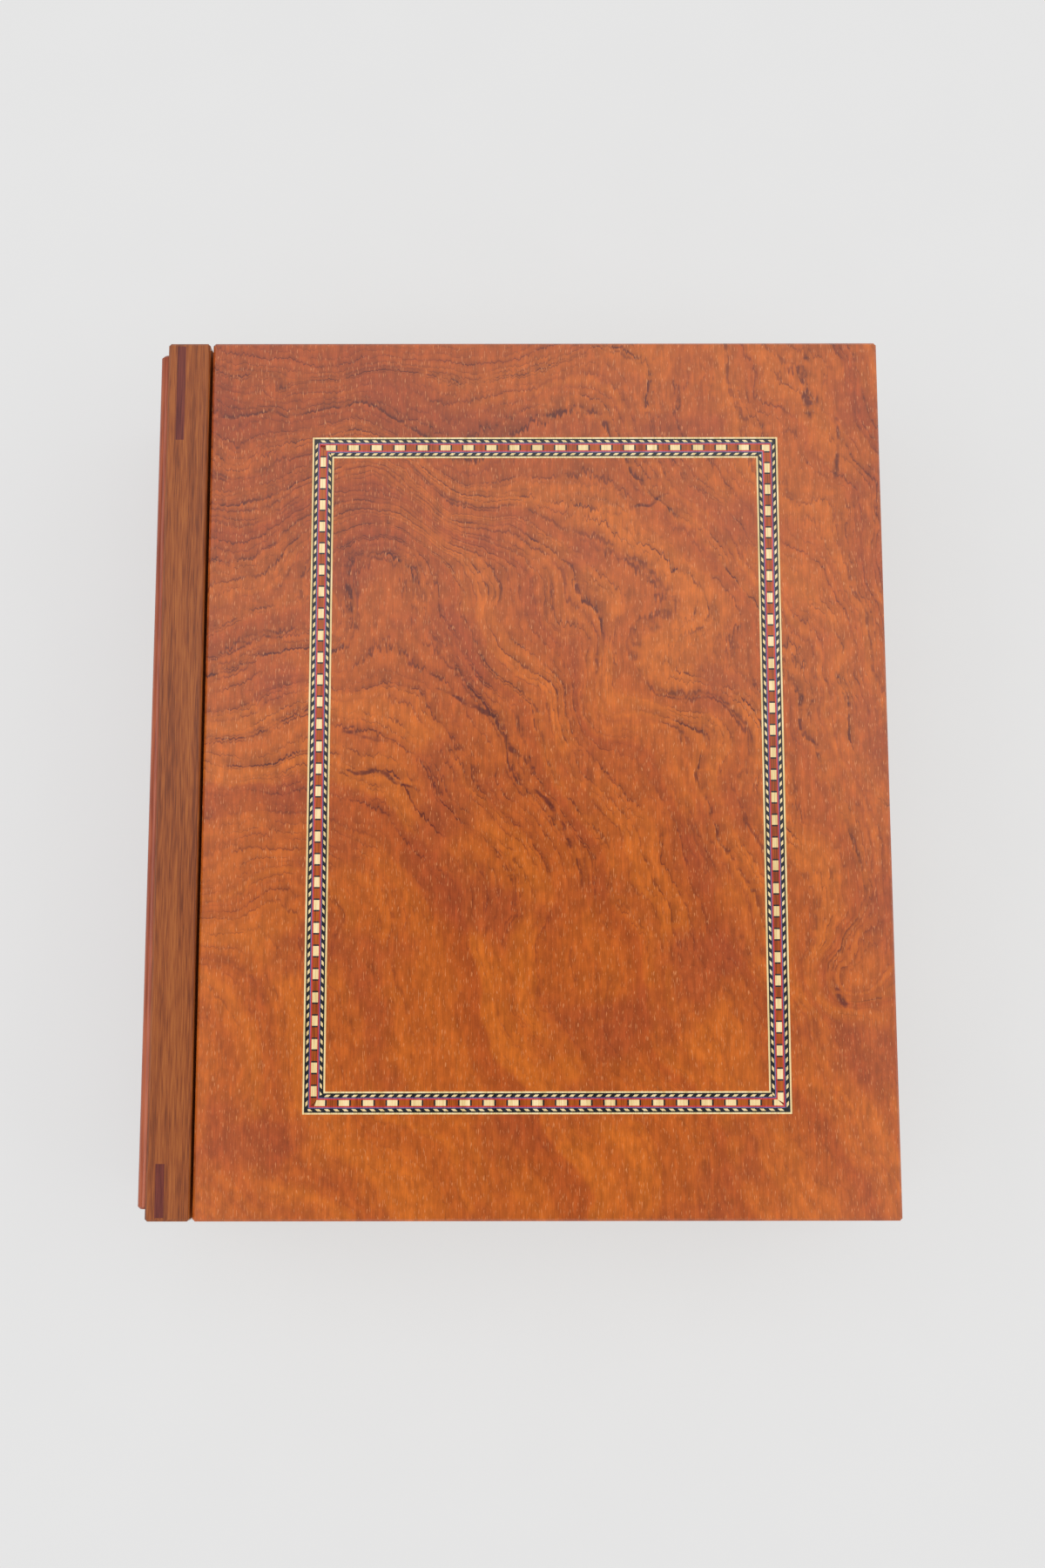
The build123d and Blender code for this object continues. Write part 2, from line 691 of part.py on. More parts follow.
def main():
    os.makedirs("parts", exist_ok=True)
    for name, shape in pieces().items():
        if isinstance(shape, list):
            shape = Compound(children=shape)
        export_step(shape, f"parts/{name}.step")


main()
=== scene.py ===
# %% [markdown]
# # A cigar humidor made like a closed book
# The box lies on its back cover. A rounded spine, a fixed strip of straight-grained wood and a big hinged
# cover with inlay banding show from above, and the pages show from the sides. The solid pieces come from the
# CAD frame, so this script gives them their finishes and adds what is too fine for CAD: the cells of the
# banding, the edges of the pages, the marks on the dial and dark bars of painted shade in the slots of the
# screws.

# %% Load the CAD frame
import json
import math

import bpy
import numpy as np
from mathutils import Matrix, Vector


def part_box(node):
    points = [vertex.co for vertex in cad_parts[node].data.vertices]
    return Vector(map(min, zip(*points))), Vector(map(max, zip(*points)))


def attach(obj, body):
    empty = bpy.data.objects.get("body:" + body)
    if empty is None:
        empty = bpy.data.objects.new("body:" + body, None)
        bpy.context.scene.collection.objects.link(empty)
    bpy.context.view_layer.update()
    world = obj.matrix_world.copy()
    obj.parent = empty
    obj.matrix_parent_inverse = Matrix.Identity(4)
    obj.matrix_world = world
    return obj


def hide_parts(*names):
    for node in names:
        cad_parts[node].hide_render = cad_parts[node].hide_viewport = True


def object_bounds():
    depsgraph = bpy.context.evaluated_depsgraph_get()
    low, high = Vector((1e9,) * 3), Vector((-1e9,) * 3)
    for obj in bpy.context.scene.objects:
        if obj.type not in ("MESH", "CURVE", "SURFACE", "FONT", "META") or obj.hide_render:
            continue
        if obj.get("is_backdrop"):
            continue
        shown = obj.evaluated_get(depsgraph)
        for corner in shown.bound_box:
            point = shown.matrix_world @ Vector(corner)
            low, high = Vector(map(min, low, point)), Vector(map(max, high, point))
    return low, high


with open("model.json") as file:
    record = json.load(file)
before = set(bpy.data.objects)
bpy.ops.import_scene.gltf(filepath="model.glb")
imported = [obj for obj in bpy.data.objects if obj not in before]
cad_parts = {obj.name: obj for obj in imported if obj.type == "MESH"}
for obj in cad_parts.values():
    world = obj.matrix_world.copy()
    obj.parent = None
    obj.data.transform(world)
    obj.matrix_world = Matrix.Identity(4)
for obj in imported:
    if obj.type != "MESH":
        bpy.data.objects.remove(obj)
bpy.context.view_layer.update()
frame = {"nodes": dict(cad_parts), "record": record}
nodes = frame["nodes"]
MM = 0.001


def plain_box():
    """The whole object's lowest and highest corners as plain lists."""
    return [[float(value) for value in corner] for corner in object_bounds()]


# %% [markdown]
# ## The camera
# The photograph was taken from almost straight above, a little to the tail's side, about 0.7 m up. The
# focal length and the place come from fitting the corners of the covers in the picture to those of the
# CAD pieces.

# %% Put the camera above the box
PICTURE_HEIGHT = 1800
FOCAL_PIXELS = 2100
SENSOR_HEIGHT = 36.0
CAMERA_PLACE = (0.0028, -0.0982, 0.7028)
CAMERA_TILT = math.radians(8.36)
CAMERA_ROLL = math.radians(-0.07)

camera_data = bpy.data.cameras.new("camera")
camera_data.sensor_fit = "VERTICAL"
camera_data.sensor_height = SENSOR_HEIGHT
camera_data.lens = FOCAL_PIXELS / PICTURE_HEIGHT * SENSOR_HEIGHT
camera = bpy.data.objects.new("camera", camera_data)
camera.location = CAMERA_PLACE
camera.rotation_euler = (CAMERA_TILT, 0, CAMERA_ROLL)
bpy.context.scene.collection.objects.link(camera)
bpy.context.scene.camera = camera
bpy.context.scene.view_settings.view_transform = "Standard"
print("lens in mm", round(camera_data.lens, 2))

# %% [markdown]
# ## Helpers for every finish
# A colour is written as a painter's hex value and turned to the linear light that Blender mixes. A finish
# is a small tree of nodes, and each node is added by one function that takes its settings and what goes
# into it. Two more functions start such a tree with the place on the piece, and end it with the colour
# and the bumps.

# %% Colours and nodes
def linear(hex_value):
    """Each channel c becomes c / 12.92 when small, or else ((c + 0.055) / 1.055) to the power 2.4."""
    channels = [int(hex_value[i : i + 2], 16) / 255 for i in (1, 3, 5)]
    light = [c / 12.92 if c <= 0.04045 else ((c + 0.055) / 1.055) ** 2.4 for c in channels]
    return (*light, 1.0)


def add(tree, kind, settings=None, inputs=None):
    """Adds a node. An input is a number, a colour, or the output socket of another node."""
    node = tree.nodes.new("ShaderNode" + kind)
    for name, value in (settings or {}).items():
        setattr(node, name, value)
    for name, value in (inputs or {}).items():
        if isinstance(value, bpy.types.NodeSocket):
            tree.links.new(value, node.inputs[name])
        else:
            node.inputs[name].default_value = value
    return node


def start_finish(name):
    """A new material, its node tree, its surface shader, and the place on the piece in millimetres."""
    material = bpy.data.materials.new(name)
    material.use_nodes = True
    tree = material.node_tree
    shader = tree.nodes["Principled BSDF"]
    place = add(tree, "TexCoord").outputs["Object"]
    place_mm = add(tree, "VectorMath", {"operation": "SCALE"}, {0: place, "Scale": 1 / MM})
    return material, tree, shader, place_mm.outputs["Vector"]


def surface(tree, shader, values, colour, height, depth_mm):
    """Sets the shader's own sockets, its colour, and bumps whose depth is the height times depth_mm."""
    for name, value in values.items():
        shader.inputs[name].default_value = value
    if isinstance(colour, bpy.types.NodeSocket):
        tree.links.new(colour, shader.inputs["Base Color"])
    else:
        shader.inputs["Base Color"].default_value = colour
    bump = add(tree, "Bump", None, {"Height": height, "Strength": 1.0, "Distance": depth_mm * MM})
    tree.links.new(bump.outputs["Normal"], shader.inputs["Normal"])


print("the light of #808080 is", round(linear("#808080")[0], 3))

# %% [markdown]
# ## The cover's veneer
# The cover is a reddish veneer with the meandering figure of bubinga that is peeled from the log: the
# knife cuts the wavy growth layers nearly flat, so each dark layer shows as a contour line. The figure is
# made the same way. A height is worked out for each place: it rises to the head on the left and to the
# fore edge on the right, swells or sinks at a few knots, is bent by slow noise and made jagged across the
# fibres.

# %% The height of the growth layers
SIDE_SLOPE = (0.91, 0.41, 0.0)
SIDE_START_MM = 42.0
TURN_MM = 30.0
# The size of each bend and how far it pushes
BENDS_MM = ((80.0, 62.0), (26.0, 15.0), (9.0, 4.0))
COMB_MM = (1.1, 8.0, 1.1)
COMB_BY = 4.2
TOP_MM = 76.0
# The middle, radius and rise of each knot in the growth layers
KNOTS_MM = (
    ((119.0, -66.0, TOP_MM), 26.0, 26.0),
    ((-86.0, 148.0, TOP_MM), 9.0, 9.0),
    ((-6.0, 96.0, TOP_MM), 60.0, 30.0),
    ((46.0, 40.0, TOP_MM), 34.0, 20.0),
    ((-55.0, 70.0, TOP_MM), 40.0, -22.0),
)
HALF_EACH = (0.5, 0.5, 0.5)
SMOOTH = {"interpolation_type": "SMOOTHSTEP"}


def span(low, high, at_low, at_high):
    """What a Map Range node is given, so that low becomes at_low and high becomes at_high."""
    return {"From Min": low, "From Max": high, "To Min": at_low, "To Max": at_high}


def stretched_noise(tree, place, size_mm, detail):
    """Noise at the place divided by a size on each axis, so its spots are as long as the size says."""
    scale = tuple(1 / size for size in size_mm)
    scaled = add(tree, "VectorMath", {"operation": "MULTIPLY"}, {0: place, 1: scale}).outputs[0]
    return add(tree, "TexNoise", None, {"Vector": scaled, "Scale": 1.0, "Detail": detail}).outputs["Fac"]


def pushed(tree, start, place, size_mm, reach_mm, detail):
    """The start plus reach times (noise at the place minus a half), on each axis."""
    noise = add(tree, "TexNoise", None, {"Vector": place, "Scale": 1 / size_mm, "Detail": detail})
    centred = add(tree, "VectorMath", {"operation": "SUBTRACT"}, {0: noise.outputs["Color"], 1: HALF_EACH})
    push = add(tree, "VectorMath", {"operation": "SCALE"}, {0: centred.outputs[0], "Scale": reach_mm})
    return add(tree, "VectorMath", {"operation": "ADD"}, {0: start, 1: push.outputs[0]}).outputs[0]


def layer_height(tree, place):
    """The larger of Y and a slope to the fore edge, blended where they meet, plus the knots and the comb."""
    bent = place
    for size, reach in BENDS_MM:
        bent = pushed(tree, bent, place, size, reach, 1.0)
    headwards = add(tree, "SeparateXYZ", None, {0: bent}).outputs["Y"]
    slope = add(tree, "VectorMath", {"operation": "DOT_PRODUCT"}, {0: bent, 1: SIDE_SLOPE}).outputs["Value"]
    sidewards = add(tree, "Math", {"operation": "ADD"}, {0: slope, 1: SIDE_START_MM}).outputs[0]
    both = {0: headwards, 1: sidewards, 2: TURN_MM}
    height = add(tree, "Math", {"operation": "SMOOTH_MAX"}, both).outputs[0]
    for middle, radius, rise in KNOTS_MM:
        away = add(tree, "VectorMath", {"operation": "DISTANCE"}, {0: bent, 1: middle}).outputs["Value"]
        knot = add(tree, "MapRange", SMOOTH, {"Value": away, **span(0.0, radius, rise, 0.0)}).outputs[0]
        height = add(tree, "Math", {"operation": "ADD"}, {0: height, 1: knot}).outputs[0]
    comb = {0: stretched_noise(tree, place, COMB_MM, 3.0), 1: COMB_BY, 2: height}
    return add(tree, "Math", {"operation": "MULTIPLY_ADD"}, comb).outputs[0]


print("growth layers have", len(BENDS_MM), "bends and", len(KNOTS_MM), "knots")

# %% [markdown]
# ## Growth lines and veins
# Two families of layers are drawn from the same height: fine ones close together and strong ones further
# apart. Every layer has a sharp thin edge, fades out above it and has a strength of its own. A few veins
# are darker still, and don't follow the layers, so each is drawn as a line between two points, with a
# wobble.

# %% Growth lines
# A family's spacing and half the width of its lines in mm, the size of its patches in mm, and its darkness
FAMILIES = ((3.3, 0.36, 17.0, 0.8), (8.5, 0.62, 24.0, 1.0))
UNEVEN_SCALE = 0.4
UNEVEN_BY = 1.4
SHARP_SHARE = 0.3
FADE = span(0.0, 0.6, 0.42, 0.0)


def growth_lines(tree, height, spacing, half_width):
    """Distance from the nearest layer makes the line, distance past the last one the fade above it."""
    steps = add(tree, "Math", {"operation": "DIVIDE"}, {0: height, 1: spacing}).outputs[0]
    slow = {"W": steps, "Scale": UNEVEN_SCALE, "Detail": 0.0}
    uneven = add(tree, "TexNoise", {"noise_dimensions": "1D"}, slow).outputs["Fac"]
    shifted = {0: uneven, 1: UNEVEN_BY, 2: steps}
    count = add(tree, "Math", {"operation": "MULTIPLY_ADD"}, shifted).outputs[0]

    beside = add(tree, "Math", {"operation": "PINGPONG"}, {0: count, 1: 0.5}).outputs[0]
    edge = span(SHARP_SHARE * half_width / spacing, half_width / spacing, 1.0, 0.0)
    line = add(tree, "MapRange", SMOOTH, {"Value": beside, **edge}).outputs[0]
    past = add(tree, "Math", {"operation": "FRACT"}, {0: count}).outputs[0]
    fade = add(tree, "MapRange", SMOOTH, {"Value": past, **FADE}).outputs[0]
    drawn = add(tree, "Math", {"operation": "MAXIMUM"}, {0: line, 1: fade}).outputs[0]

    nearest = add(tree, "Math", {"operation": "ROUND"}, {0: count}).outputs[0]
    own = add(tree, "TexWhiteNoise", {"noise_dimensions": "1D"}, {"W": nearest}).outputs["Value"]
    strength = add(tree, "Math", {"operation": "SQRT"}, {0: own}).outputs[0]
    return add(tree, "Math", {"operation": "MULTIPLY"}, {0: drawn, 1: strength}).outputs[0]


print("families of layers", len(FAMILIES))

# %% The darkest veins
# The two ends of each
VEINS_MM = (
    ((-28.0, 27.7, TOP_MM), (-3.6, 15.4, TOP_MM)),
    ((-3.6, 15.4, TOP_MM), (8.5, -6.1, TOP_MM)),
    ((8.5, -6.1, TOP_MM), (19.0, -27.0, TOP_MM)),
    ((-60.0, 13.8, TOP_MM), (-40.0, 6.1, TOP_MM)),
    ((-59.5, 0.5, TOP_MM), (-34.3, -7.6, TOP_MM)),
    ((36.0, 90.0, TOP_MM), (56.0, 97.0, TOP_MM)),
    ((104.3, 152.0, TOP_MM), (104.8, 106.0, TOP_MM)),
    ((116.2, 126.0, TOP_MM), (114.6, 100.0, TOP_MM)),
    ((109.5, -75.0, TOP_MM), (116.5, -90.0, TOP_MM)),
)
WOBBLE_SIZE_MM = 13.0
WOBBLE_REACH_MM = 11.0
SWELL_MM = 1.2
VEIN_EDGE = span(0.0, 1.1, 0.85, 0.0)


def vein(tree, place, start, end):
    """Nearness to the closest point between start and end, less a swelling that is widest half way."""
    start, end = np.array(start), np.array(end)
    run = end - start
    beyond = add(tree, "VectorMath", {"operation": "SUBTRACT"}, {0: place, 1: tuple(start)}).outputs[0]
    onto_run = {0: beyond, 1: tuple(run / (run @ run))}
    share = add(tree, "VectorMath", {"operation": "DOT_PRODUCT"}, onto_run).outputs["Value"]
    share = add(tree, "Clamp", None, {"Value": share}).outputs[0]
    nearest = add(tree, "VectorMath", {"operation": "SCALE"}, {0: tuple(run), "Scale": share}).outputs[0]
    away = add(tree, "VectorMath", {"operation": "DISTANCE"}, {0: beyond, 1: nearest}).outputs["Value"]
    middle = add(tree, "Math", {"operation": "PINGPONG"}, {0: share, 1: 0.5}).outputs[0]
    swollen = add(tree, "Math", {"operation": "MULTIPLY_ADD"}, {0: middle, 1: -SWELL_MM, 2: away}).outputs[0]
    return add(tree, "MapRange", SMOOTH, {"Value": swollen, **VEIN_EDGE}).outputs[0]


def dark_veins(tree, place):
    """The strongest of all veins, at a place that wobbles."""
    wobbly = pushed(tree, place, place, WOBBLE_SIZE_MM, WOBBLE_REACH_MM, 4.0)
    strongest = vein(tree, wobbly, *VEINS_MM[0])
    for start, end in VEINS_MM[1:]:
        two = {0: strongest, 1: vein(tree, wobbly, start, end)}
        strongest = add(tree, "Math", {"operation": "MAXIMUM"}, two).outputs[0]
    return strongest


print("darkest veins", len(VEINS_MM))

# %% [markdown]
# ## Tones, lines by place, fibres and pores
# Under the lines lie slow changes of tone: bands that follow the layers, redder clouds, and a deeper red
# near the corner of the head and the spine. The lines are broken into short pieces, come and go in
# patches, crowd round the knot near the fore edge and are faint towards the tail. Fibres, a mottle and
# streaks run from tail to head over everything, and open pores catch the light as pale specks. Glossy
# lacquer covers it all.

# %% Tones and lines
BAND_MM = 16.0
CLOUD_MM = 38.0
HEAD_CORNER_MM = (-105.0, 160.0, TOP_MM)
KNOT_MM = (117.0, -68.0, TOP_MM)
BREAK_MM = (7.0, 4.0, 7.0)
LINE_COLOUR = "#5C221A"
# Each turns a noise, or a distance in mm, into a share
BANDS = span(0.28, 0.68, 0.0, 1.0)
CLOUDS = span(0.47, 0.66, 0.0, 0.7)
CORNER_REDDER = span(20.0, 170.0, 0.6, 0.0)
CORNER_CROWDED = span(60.0, 190.0, 0.1, 0.0)
ROUND_KNOT = span(6.0, 24.0, 1.0, 0.0)
KNOT_CROWDED = 0.1
TOWARDS_HEAD = span(-110.0, 10.0, 0.25, 1.0)
BREAKS = span(0.36, 0.52, 0.3, 1.0)


def tinted(tree, tone, value, limits, hex_value):
    """Lays a colour over a tone, by the share that the limits make of a value."""
    share = add(tree, "MapRange", SMOOTH, {"Value": value, **limits}).outputs[0]
    return add(tree, "Mix", {"data_type": "RGBA"}, {0: share, 6: tone, 7: linear(hex_value)}).outputs[2]


def slow_tones(tree, place, height, from_corner):
    """Bands by the height, then clouds by noise, then a redder corner by the distance from it."""
    steps = add(tree, "Math", {"operation": "DIVIDE"}, {0: height, 1: BAND_MM}).outputs[0]
    bands = add(tree, "TexNoise", {"noise_dimensions": "1D"}, {"W": steps, "Scale": 1.0, "Detail": 4.0})
    tone = tinted(tree, linear("#A94E1E"), bands.outputs["Fac"], BANDS, "#C26420")
    clouds = add(tree, "TexNoise", None, {"Vector": place, "Scale": 1 / CLOUD_MM, "Detail": 7.0})
    tone = tinted(tree, tone, clouds.outputs["Fac"], CLOUDS, "#9C4524")
    return tinted(tree, tone, from_corner, CORNER_REDDER, "#96401F")


def lines_by_place(tree, place, height, from_corner, tone):
    """Lines times breaks, patches and region darken the tone, family by family, and then the veins do."""
    from_knot = add(tree, "VectorMath", {"operation": "DISTANCE"}, {0: place, 1: KNOT_MM}).outputs["Value"]
    round_knot = add(tree, "MapRange", SMOOTH, {"Value": from_knot, **ROUND_KNOT}).outputs[0]
    near_corner = add(tree, "MapRange", SMOOTH, {"Value": from_corner, **CORNER_CROWDED}).outputs[0]
    near_both = {0: round_knot, 1: KNOT_CROWDED, 2: near_corner}
    crowded = add(tree, "Math", {"operation": "MULTIPLY_ADD"}, near_both).outputs[0]
    up = add(tree, "SeparateXYZ", None, {0: place}).outputs["Y"]
    headwards = add(tree, "MapRange", SMOOTH, {"Value": up, **TOWARDS_HEAD}).outputs[0]
    region = add(tree, "Math", {"operation": "MAXIMUM"}, {0: headwards, 1: round_knot}).outputs[0]
    breaks = stretched_noise(tree, place, BREAK_MM, 2.0)
    broken = add(tree, "MapRange", SMOOTH, {"Value": breaks, **BREAKS}).outputs[0]
    for spacing, half_width, patch_mm, darkness in FAMILIES:
        lines = growth_lines(tree, height, spacing, half_width)
        drawn = add(tree, "Math", {"operation": "MULTIPLY"}, {0: lines, 1: broken}).outputs[0]
        patch = add(tree, "TexNoise", None, {"Vector": place, "Scale": 1 / patch_mm, "Detail": 2.0})
        patch = add(tree, "Math", {"operation": "ADD"}, {0: patch.outputs["Fac"], 1: crowded}).outputs[0]
        limits = span(0.4, 0.56, 0.1, darkness)
        shown = add(tree, "MapRange", SMOOTH, {"Value": patch, **limits}).outputs[0]
        shown = add(tree, "Math", {"operation": "MULTIPLY"}, {0: shown, 1: region}).outputs[0]
        share = add(tree, "Math", {"operation": "MULTIPLY"}, {0: drawn, 1: shown}).outputs[0]
        colours = {0: share, 6: tone, 7: linear(LINE_COLOUR)}
        tone = add(tree, "Mix", {"data_type": "RGBA"}, colours).outputs[2]
    veins = {0: dark_veins(tree, place), 1: broken}
    share = add(tree, "Math", {"operation": "MULTIPLY"}, veins).outputs[0]
    return add(tree, "Mix", {"data_type": "RGBA"}, {0: share, 6: tone, 7: linear(LINE_COLOUR)}).outputs[2]


print("growth lines are drawn in", LINE_COLOUR)

# %% Figured veneer under lacquer
# The size of each grain in mm, its detail, and how far it lightens or darkens the wood
GRAINS = {
    "fibre": ((0.35, 6.0, 0.35), 3.0, 0.1),
    "mottle": ((2.6, 5.0, 2.6), 4.0, 0.14),
    "streak": ((1.3, 22.0, 1.3), 2.0, 0.08),
}
FIBRE_DEPTH_MM = 0.006
PORE_MM = (0.26, 2.2, 0.26)
PORE_GLINTS = span(0.7, 0.78, 0.0, 0.55)
lacquer = {"Roughness": 0.5, "Specular IOR Level": 0.04, "Coat Weight": 1.0, "Coat Roughness": 0.1}


def figured_veneer():
    """Tones and lines, times the three grains, with pale specks over them, painted highlights where the
    pores catch the light.
    """
    material, tree, shader, place = start_finish("bubinga_veneer_lacquered")
    height = layer_height(tree, place)
    corner = {0: place, 1: HEAD_CORNER_MM}
    from_corner = add(tree, "VectorMath", {"operation": "DISTANCE"}, corner).outputs["Value"]
    tone = slow_tones(tree, place, height, from_corner)
    tone = lines_by_place(tree, place, height, from_corner, tone)

    noises = {}
    shade = 1.0
    for name, (size_mm, detail, change) in GRAINS.items():
        noises[name] = stretched_noise(tree, place, size_mm, detail)
        limits = span(0.3, 0.7, 1 - change, 1 + change)
        grain = add(tree, "MapRange", SMOOTH, {"Value": noises[name], **limits}).outputs[0]
        shade = add(tree, "Math", {"operation": "MULTIPLY"}, {0: shade, 1: grain}).outputs[0]
    shaded = add(tree, "VectorMath", {"operation": "SCALE"}, {0: tone, "Scale": shade}).outputs[0]
    pores = stretched_noise(tree, place, PORE_MM, 0.0)
    # Painted highlight: pale specks where open pores catch the light
    colour = tinted(tree, shaded, pores, PORE_GLINTS, "#E0935E")
    surface(tree, shader, lacquer, colour, noises["fibre"], FIBRE_DEPTH_MM)
    return material


print("grains of the veneer", sorted(GRAINS))

# %% [markdown]
# ## Straight-grained woods
# The strip beside the cover, its keys, the spine, the walls and the cedar inside are all sawn along the
# grain. One recipe makes them: long thin streaks over slower changes of tone. Only the colours, the size
# of the streaks and the axis or axes that they run along change.

# %% Straight grain
STREAK_LENGTH = 30.0
BAND_SCALE = 0.14
BAND_WEIGHT = 0.6
DARK_AT, BASE_AT, LIGHT_AT = 0.62, 0.8, 0.98


def straight_wood(name, colours, grain, streak_mm, values, depth_mm=0.02):
    """Noise stretched along one axis or two: streaks 30 times as long as wide, plus 0.6 of slow bands."""
    dark, base, light = (linear(value) for value in colours)
    material, tree, shader, place = start_finish(name)
    stretch = [1 / (streak_mm * (STREAK_LENGTH if axis in grain else 1.0)) for axis in "XYZ"]
    streaks = add(tree, "VectorMath", {"operation": "MULTIPLY"}, {0: place, 1: stretch}).outputs[0]
    streak = add(tree, "TexNoise", None, {"Vector": streaks, "Scale": 1.0, "Detail": 4.0}).outputs["Fac"]
    broad = add(tree, "VectorMath", {"operation": "SCALE"}, {0: streaks, "Scale": BAND_SCALE}).outputs[0]
    band = add(tree, "TexNoise", None, {"Vector": broad, "Scale": 1.0, "Detail": 2.0}).outputs["Fac"]
    both = {0: band, 1: BAND_WEIGHT, 2: streak}
    tone = add(tree, "Math", {"operation": "MULTIPLY_ADD"}, both).outputs[0]
    ramp = add(tree, "ValToRGB", None, {"Fac": tone})
    ramp.color_ramp.elements[0].position = DARK_AT
    ramp.color_ramp.elements[0].color = dark
    ramp.color_ramp.elements[1].position = LIGHT_AT
    ramp.color_ramp.elements[1].color = light
    ramp.color_ramp.elements.new(BASE_AT).color = base
    surface(tree, shader, values, ramp.outputs["Color"], streak, depth_mm)
    return material


ROSEWOOD = ("#6E3519", "#8F4A21", "#A35C2A")
PURPLEHEART = ("#4C1A18", "#672A22", "#783629")
MAHOGANY = ("#80371F", "#9C4A2C", "#AE5A38")
MAPLE = ("#C09A6C", "#DDBE93", "#E8CFA6")
CEDAR = ("#A2623F", "#B97A54", "#C98E68")
satin = {**lacquer, "Coat Weight": 0.6}
oiled = {"Roughness": 0.55, "Specular IOR Level": 0.35}
bare = {"Roughness": 0.75, "Specular IOR Level": 0.25}
finishes = {
    "veneer": figured_veneer(),
    "strip_wood": straight_wood("rosewood_strip_lacquered", ROSEWOOD, "Y", 0.35, satin),
    "dark_wood": straight_wood("purpleheart_key", PURPLEHEART, "Y", 0.5, satin),
    "spine_wood": straight_wood("mahogany_spine_lacquered", MAHOGANY, "Y", 0.6, satin),
    "page_wood": straight_wood("maple_wall", MAPLE, "Y", 0.5, oiled),
    "cedar": straight_wood("spanish_cedar_bare", CEDAR, "Y", 0.9, bare, 0.04),
}
print("wood finishes", sorted(finishes))

# %% [markdown]
# ## The colours of the banding
# Traditional banding is built from dyed and natural veneers that are glued side by side and sliced. Holly
# gives the cream, ebonised pear the black, padauk the brown-orange blocks, and dyed holly the red and
# violet lines. Each strip is too thin to show much grain, so a fine streak along it is enough.

# %% Finishes of the banding
banding_colours = {
    "holly_cream": ("#D8BC80", "#EFD49B", "#F8E3B4"),
    "ebonised_pear": ("#16161A", "#202025", "#2E2E34"),
    "padauk_block": ("#7A3410", "#A24C16", "#B85E20"),
    "holly_dyed_red": ("#A42E2A", "#C23A35", "#CC4A42"),
    "holly_dyed_violet": ("#575080", "#6B6496", "#7C76A4"),
}
inlay = {}
for name, colours in banding_colours.items():
    inlay[name] = straight_wood(name, colours, "Y", 0.35, lacquer, 0.005)
finishes["banding_line"] = inlay["holly_cream"]
finishes["banding_rope"] = inlay["ebonised_pear"]
finishes["banding_core"] = inlay["padauk_block"]
print("banding finishes", sorted(inlay))

# %% [markdown]
# ## Metal, felt, glass and plastic
# The hinge and the hygrometer are brass, drawn or turned and then brushed, so fine scratches run along
# them. The magnets are nickel-plated. The base is covered with felt, whose short fibres lie every way.
# The humidifier is moulded black plastic with a spark-eroded grain, round a crumbly foam pad.

# %% Metals
SCRATCH_MM = 0.15
SCRATCH_LENGTH = 40
ROUGHER_BY = 0.08


def brushed_metal(name, hex_value, roughness):
    """Scratches along Y, 40 times as long as wide, change the roughness and the height a little."""
    material, tree, shader, place = start_finish(name)
    across = 1 / SCRATCH_MM
    stretch = (across, across / SCRATCH_LENGTH, across)
    scratches = add(tree, "VectorMath", {"operation": "MULTIPLY"}, {0: place, 1: stretch}).outputs[0]
    noise = add(tree, "TexNoise", None, {"Vector": scratches, "Scale": 1.0, "Detail": 3.0}).outputs["Fac"]
    limits = span(0.3, 0.7, roughness - ROUGHER_BY, roughness + ROUGHER_BY)
    rough = add(tree, "MapRange", None, {"Value": noise, **limits}).outputs[0]
    tree.links.new(rough, shader.inputs["Roughness"])
    surface(tree, shader, {"Metallic": 1.0}, linear(hex_value), noise, 0.004)
    return material


finishes["brass"] = brushed_metal("brass_brushed", "#C9A55A", 0.3)
finishes["steel"] = brushed_metal("steel_nickel_plated", "#C4C4C0", 0.28)
print("metals brushed with scratches", SCRATCH_MM, "mm wide")

# %% Soft and moulded finishes
GRAIN_DARK_AT, GRAIN_LIGHT_AT = 0.35, 0.65


def grainy(name, colours, grain_mm, values, depth_mm):
    """Even noise of a real grain size that changes the colour and the height together."""
    material, tree, shader, place = start_finish(name)
    grain = {"Vector": place, "Scale": 1 / grain_mm, "Detail": 4.0}
    noise = add(tree, "TexNoise", None, grain).outputs["Fac"]
    ramp = add(tree, "ValToRGB", None, {"Fac": noise})
    for stop, at, colour in zip(ramp.color_ramp.elements, (GRAIN_DARK_AT, GRAIN_LIGHT_AT), colours):
        stop.position = at
        stop.color = linear(colour)
    surface(tree, shader, values, ramp.outputs["Color"], noise, depth_mm)
    return material


clear = {"Roughness": 0.02, "Transmission Weight": 1.0, "IOR": 1.5}
# Each finish: its name, dark and light colour, grain in mm, shader values, depth of the grain in mm
recipes = {
    "felt": ("wool_felt", ("#1E3A2A", "#2C5240"), 0.5, {"Roughness": 0.95, "Sheen Weight": 0.3}, 0.15),
    "black_plastic": ("abs_moulded_black", ("#17171A", "#222226"), 0.4, {"Roughness": 0.45}, 0.02),
    "pad": ("phenolic_foam_green", ("#3E5A3A", "#6B8A60"), 1.1, {"Roughness": 0.9}, 0.4),
    "dial": ("dial_printed_cream", ("#EFE7D2", "#F6EFDD"), 0.3, {"Roughness": 0.5}, 0.004),
    "pointer": ("pointer_black_enamel", ("#141416", "#1E1E20"), 0.2, {"Roughness": 0.35}, 0.004),
    "glass": ("window_glass", ("#F4FAF8", "#FFFFFF"), 6.0, clear, 0.0005),
}
for slot, recipe in recipes.items():
    finishes[slot] = grainy(*recipe)
print("all finishes", len(finishes))

# %% [markdown]
# ## Dress the CAD pieces
# The record names a material slot for every piece, so the finish follows from it. The grain of the end
# walls and the end linings runs across the box, so the same recipe makes their wood with its streaks
# along X.

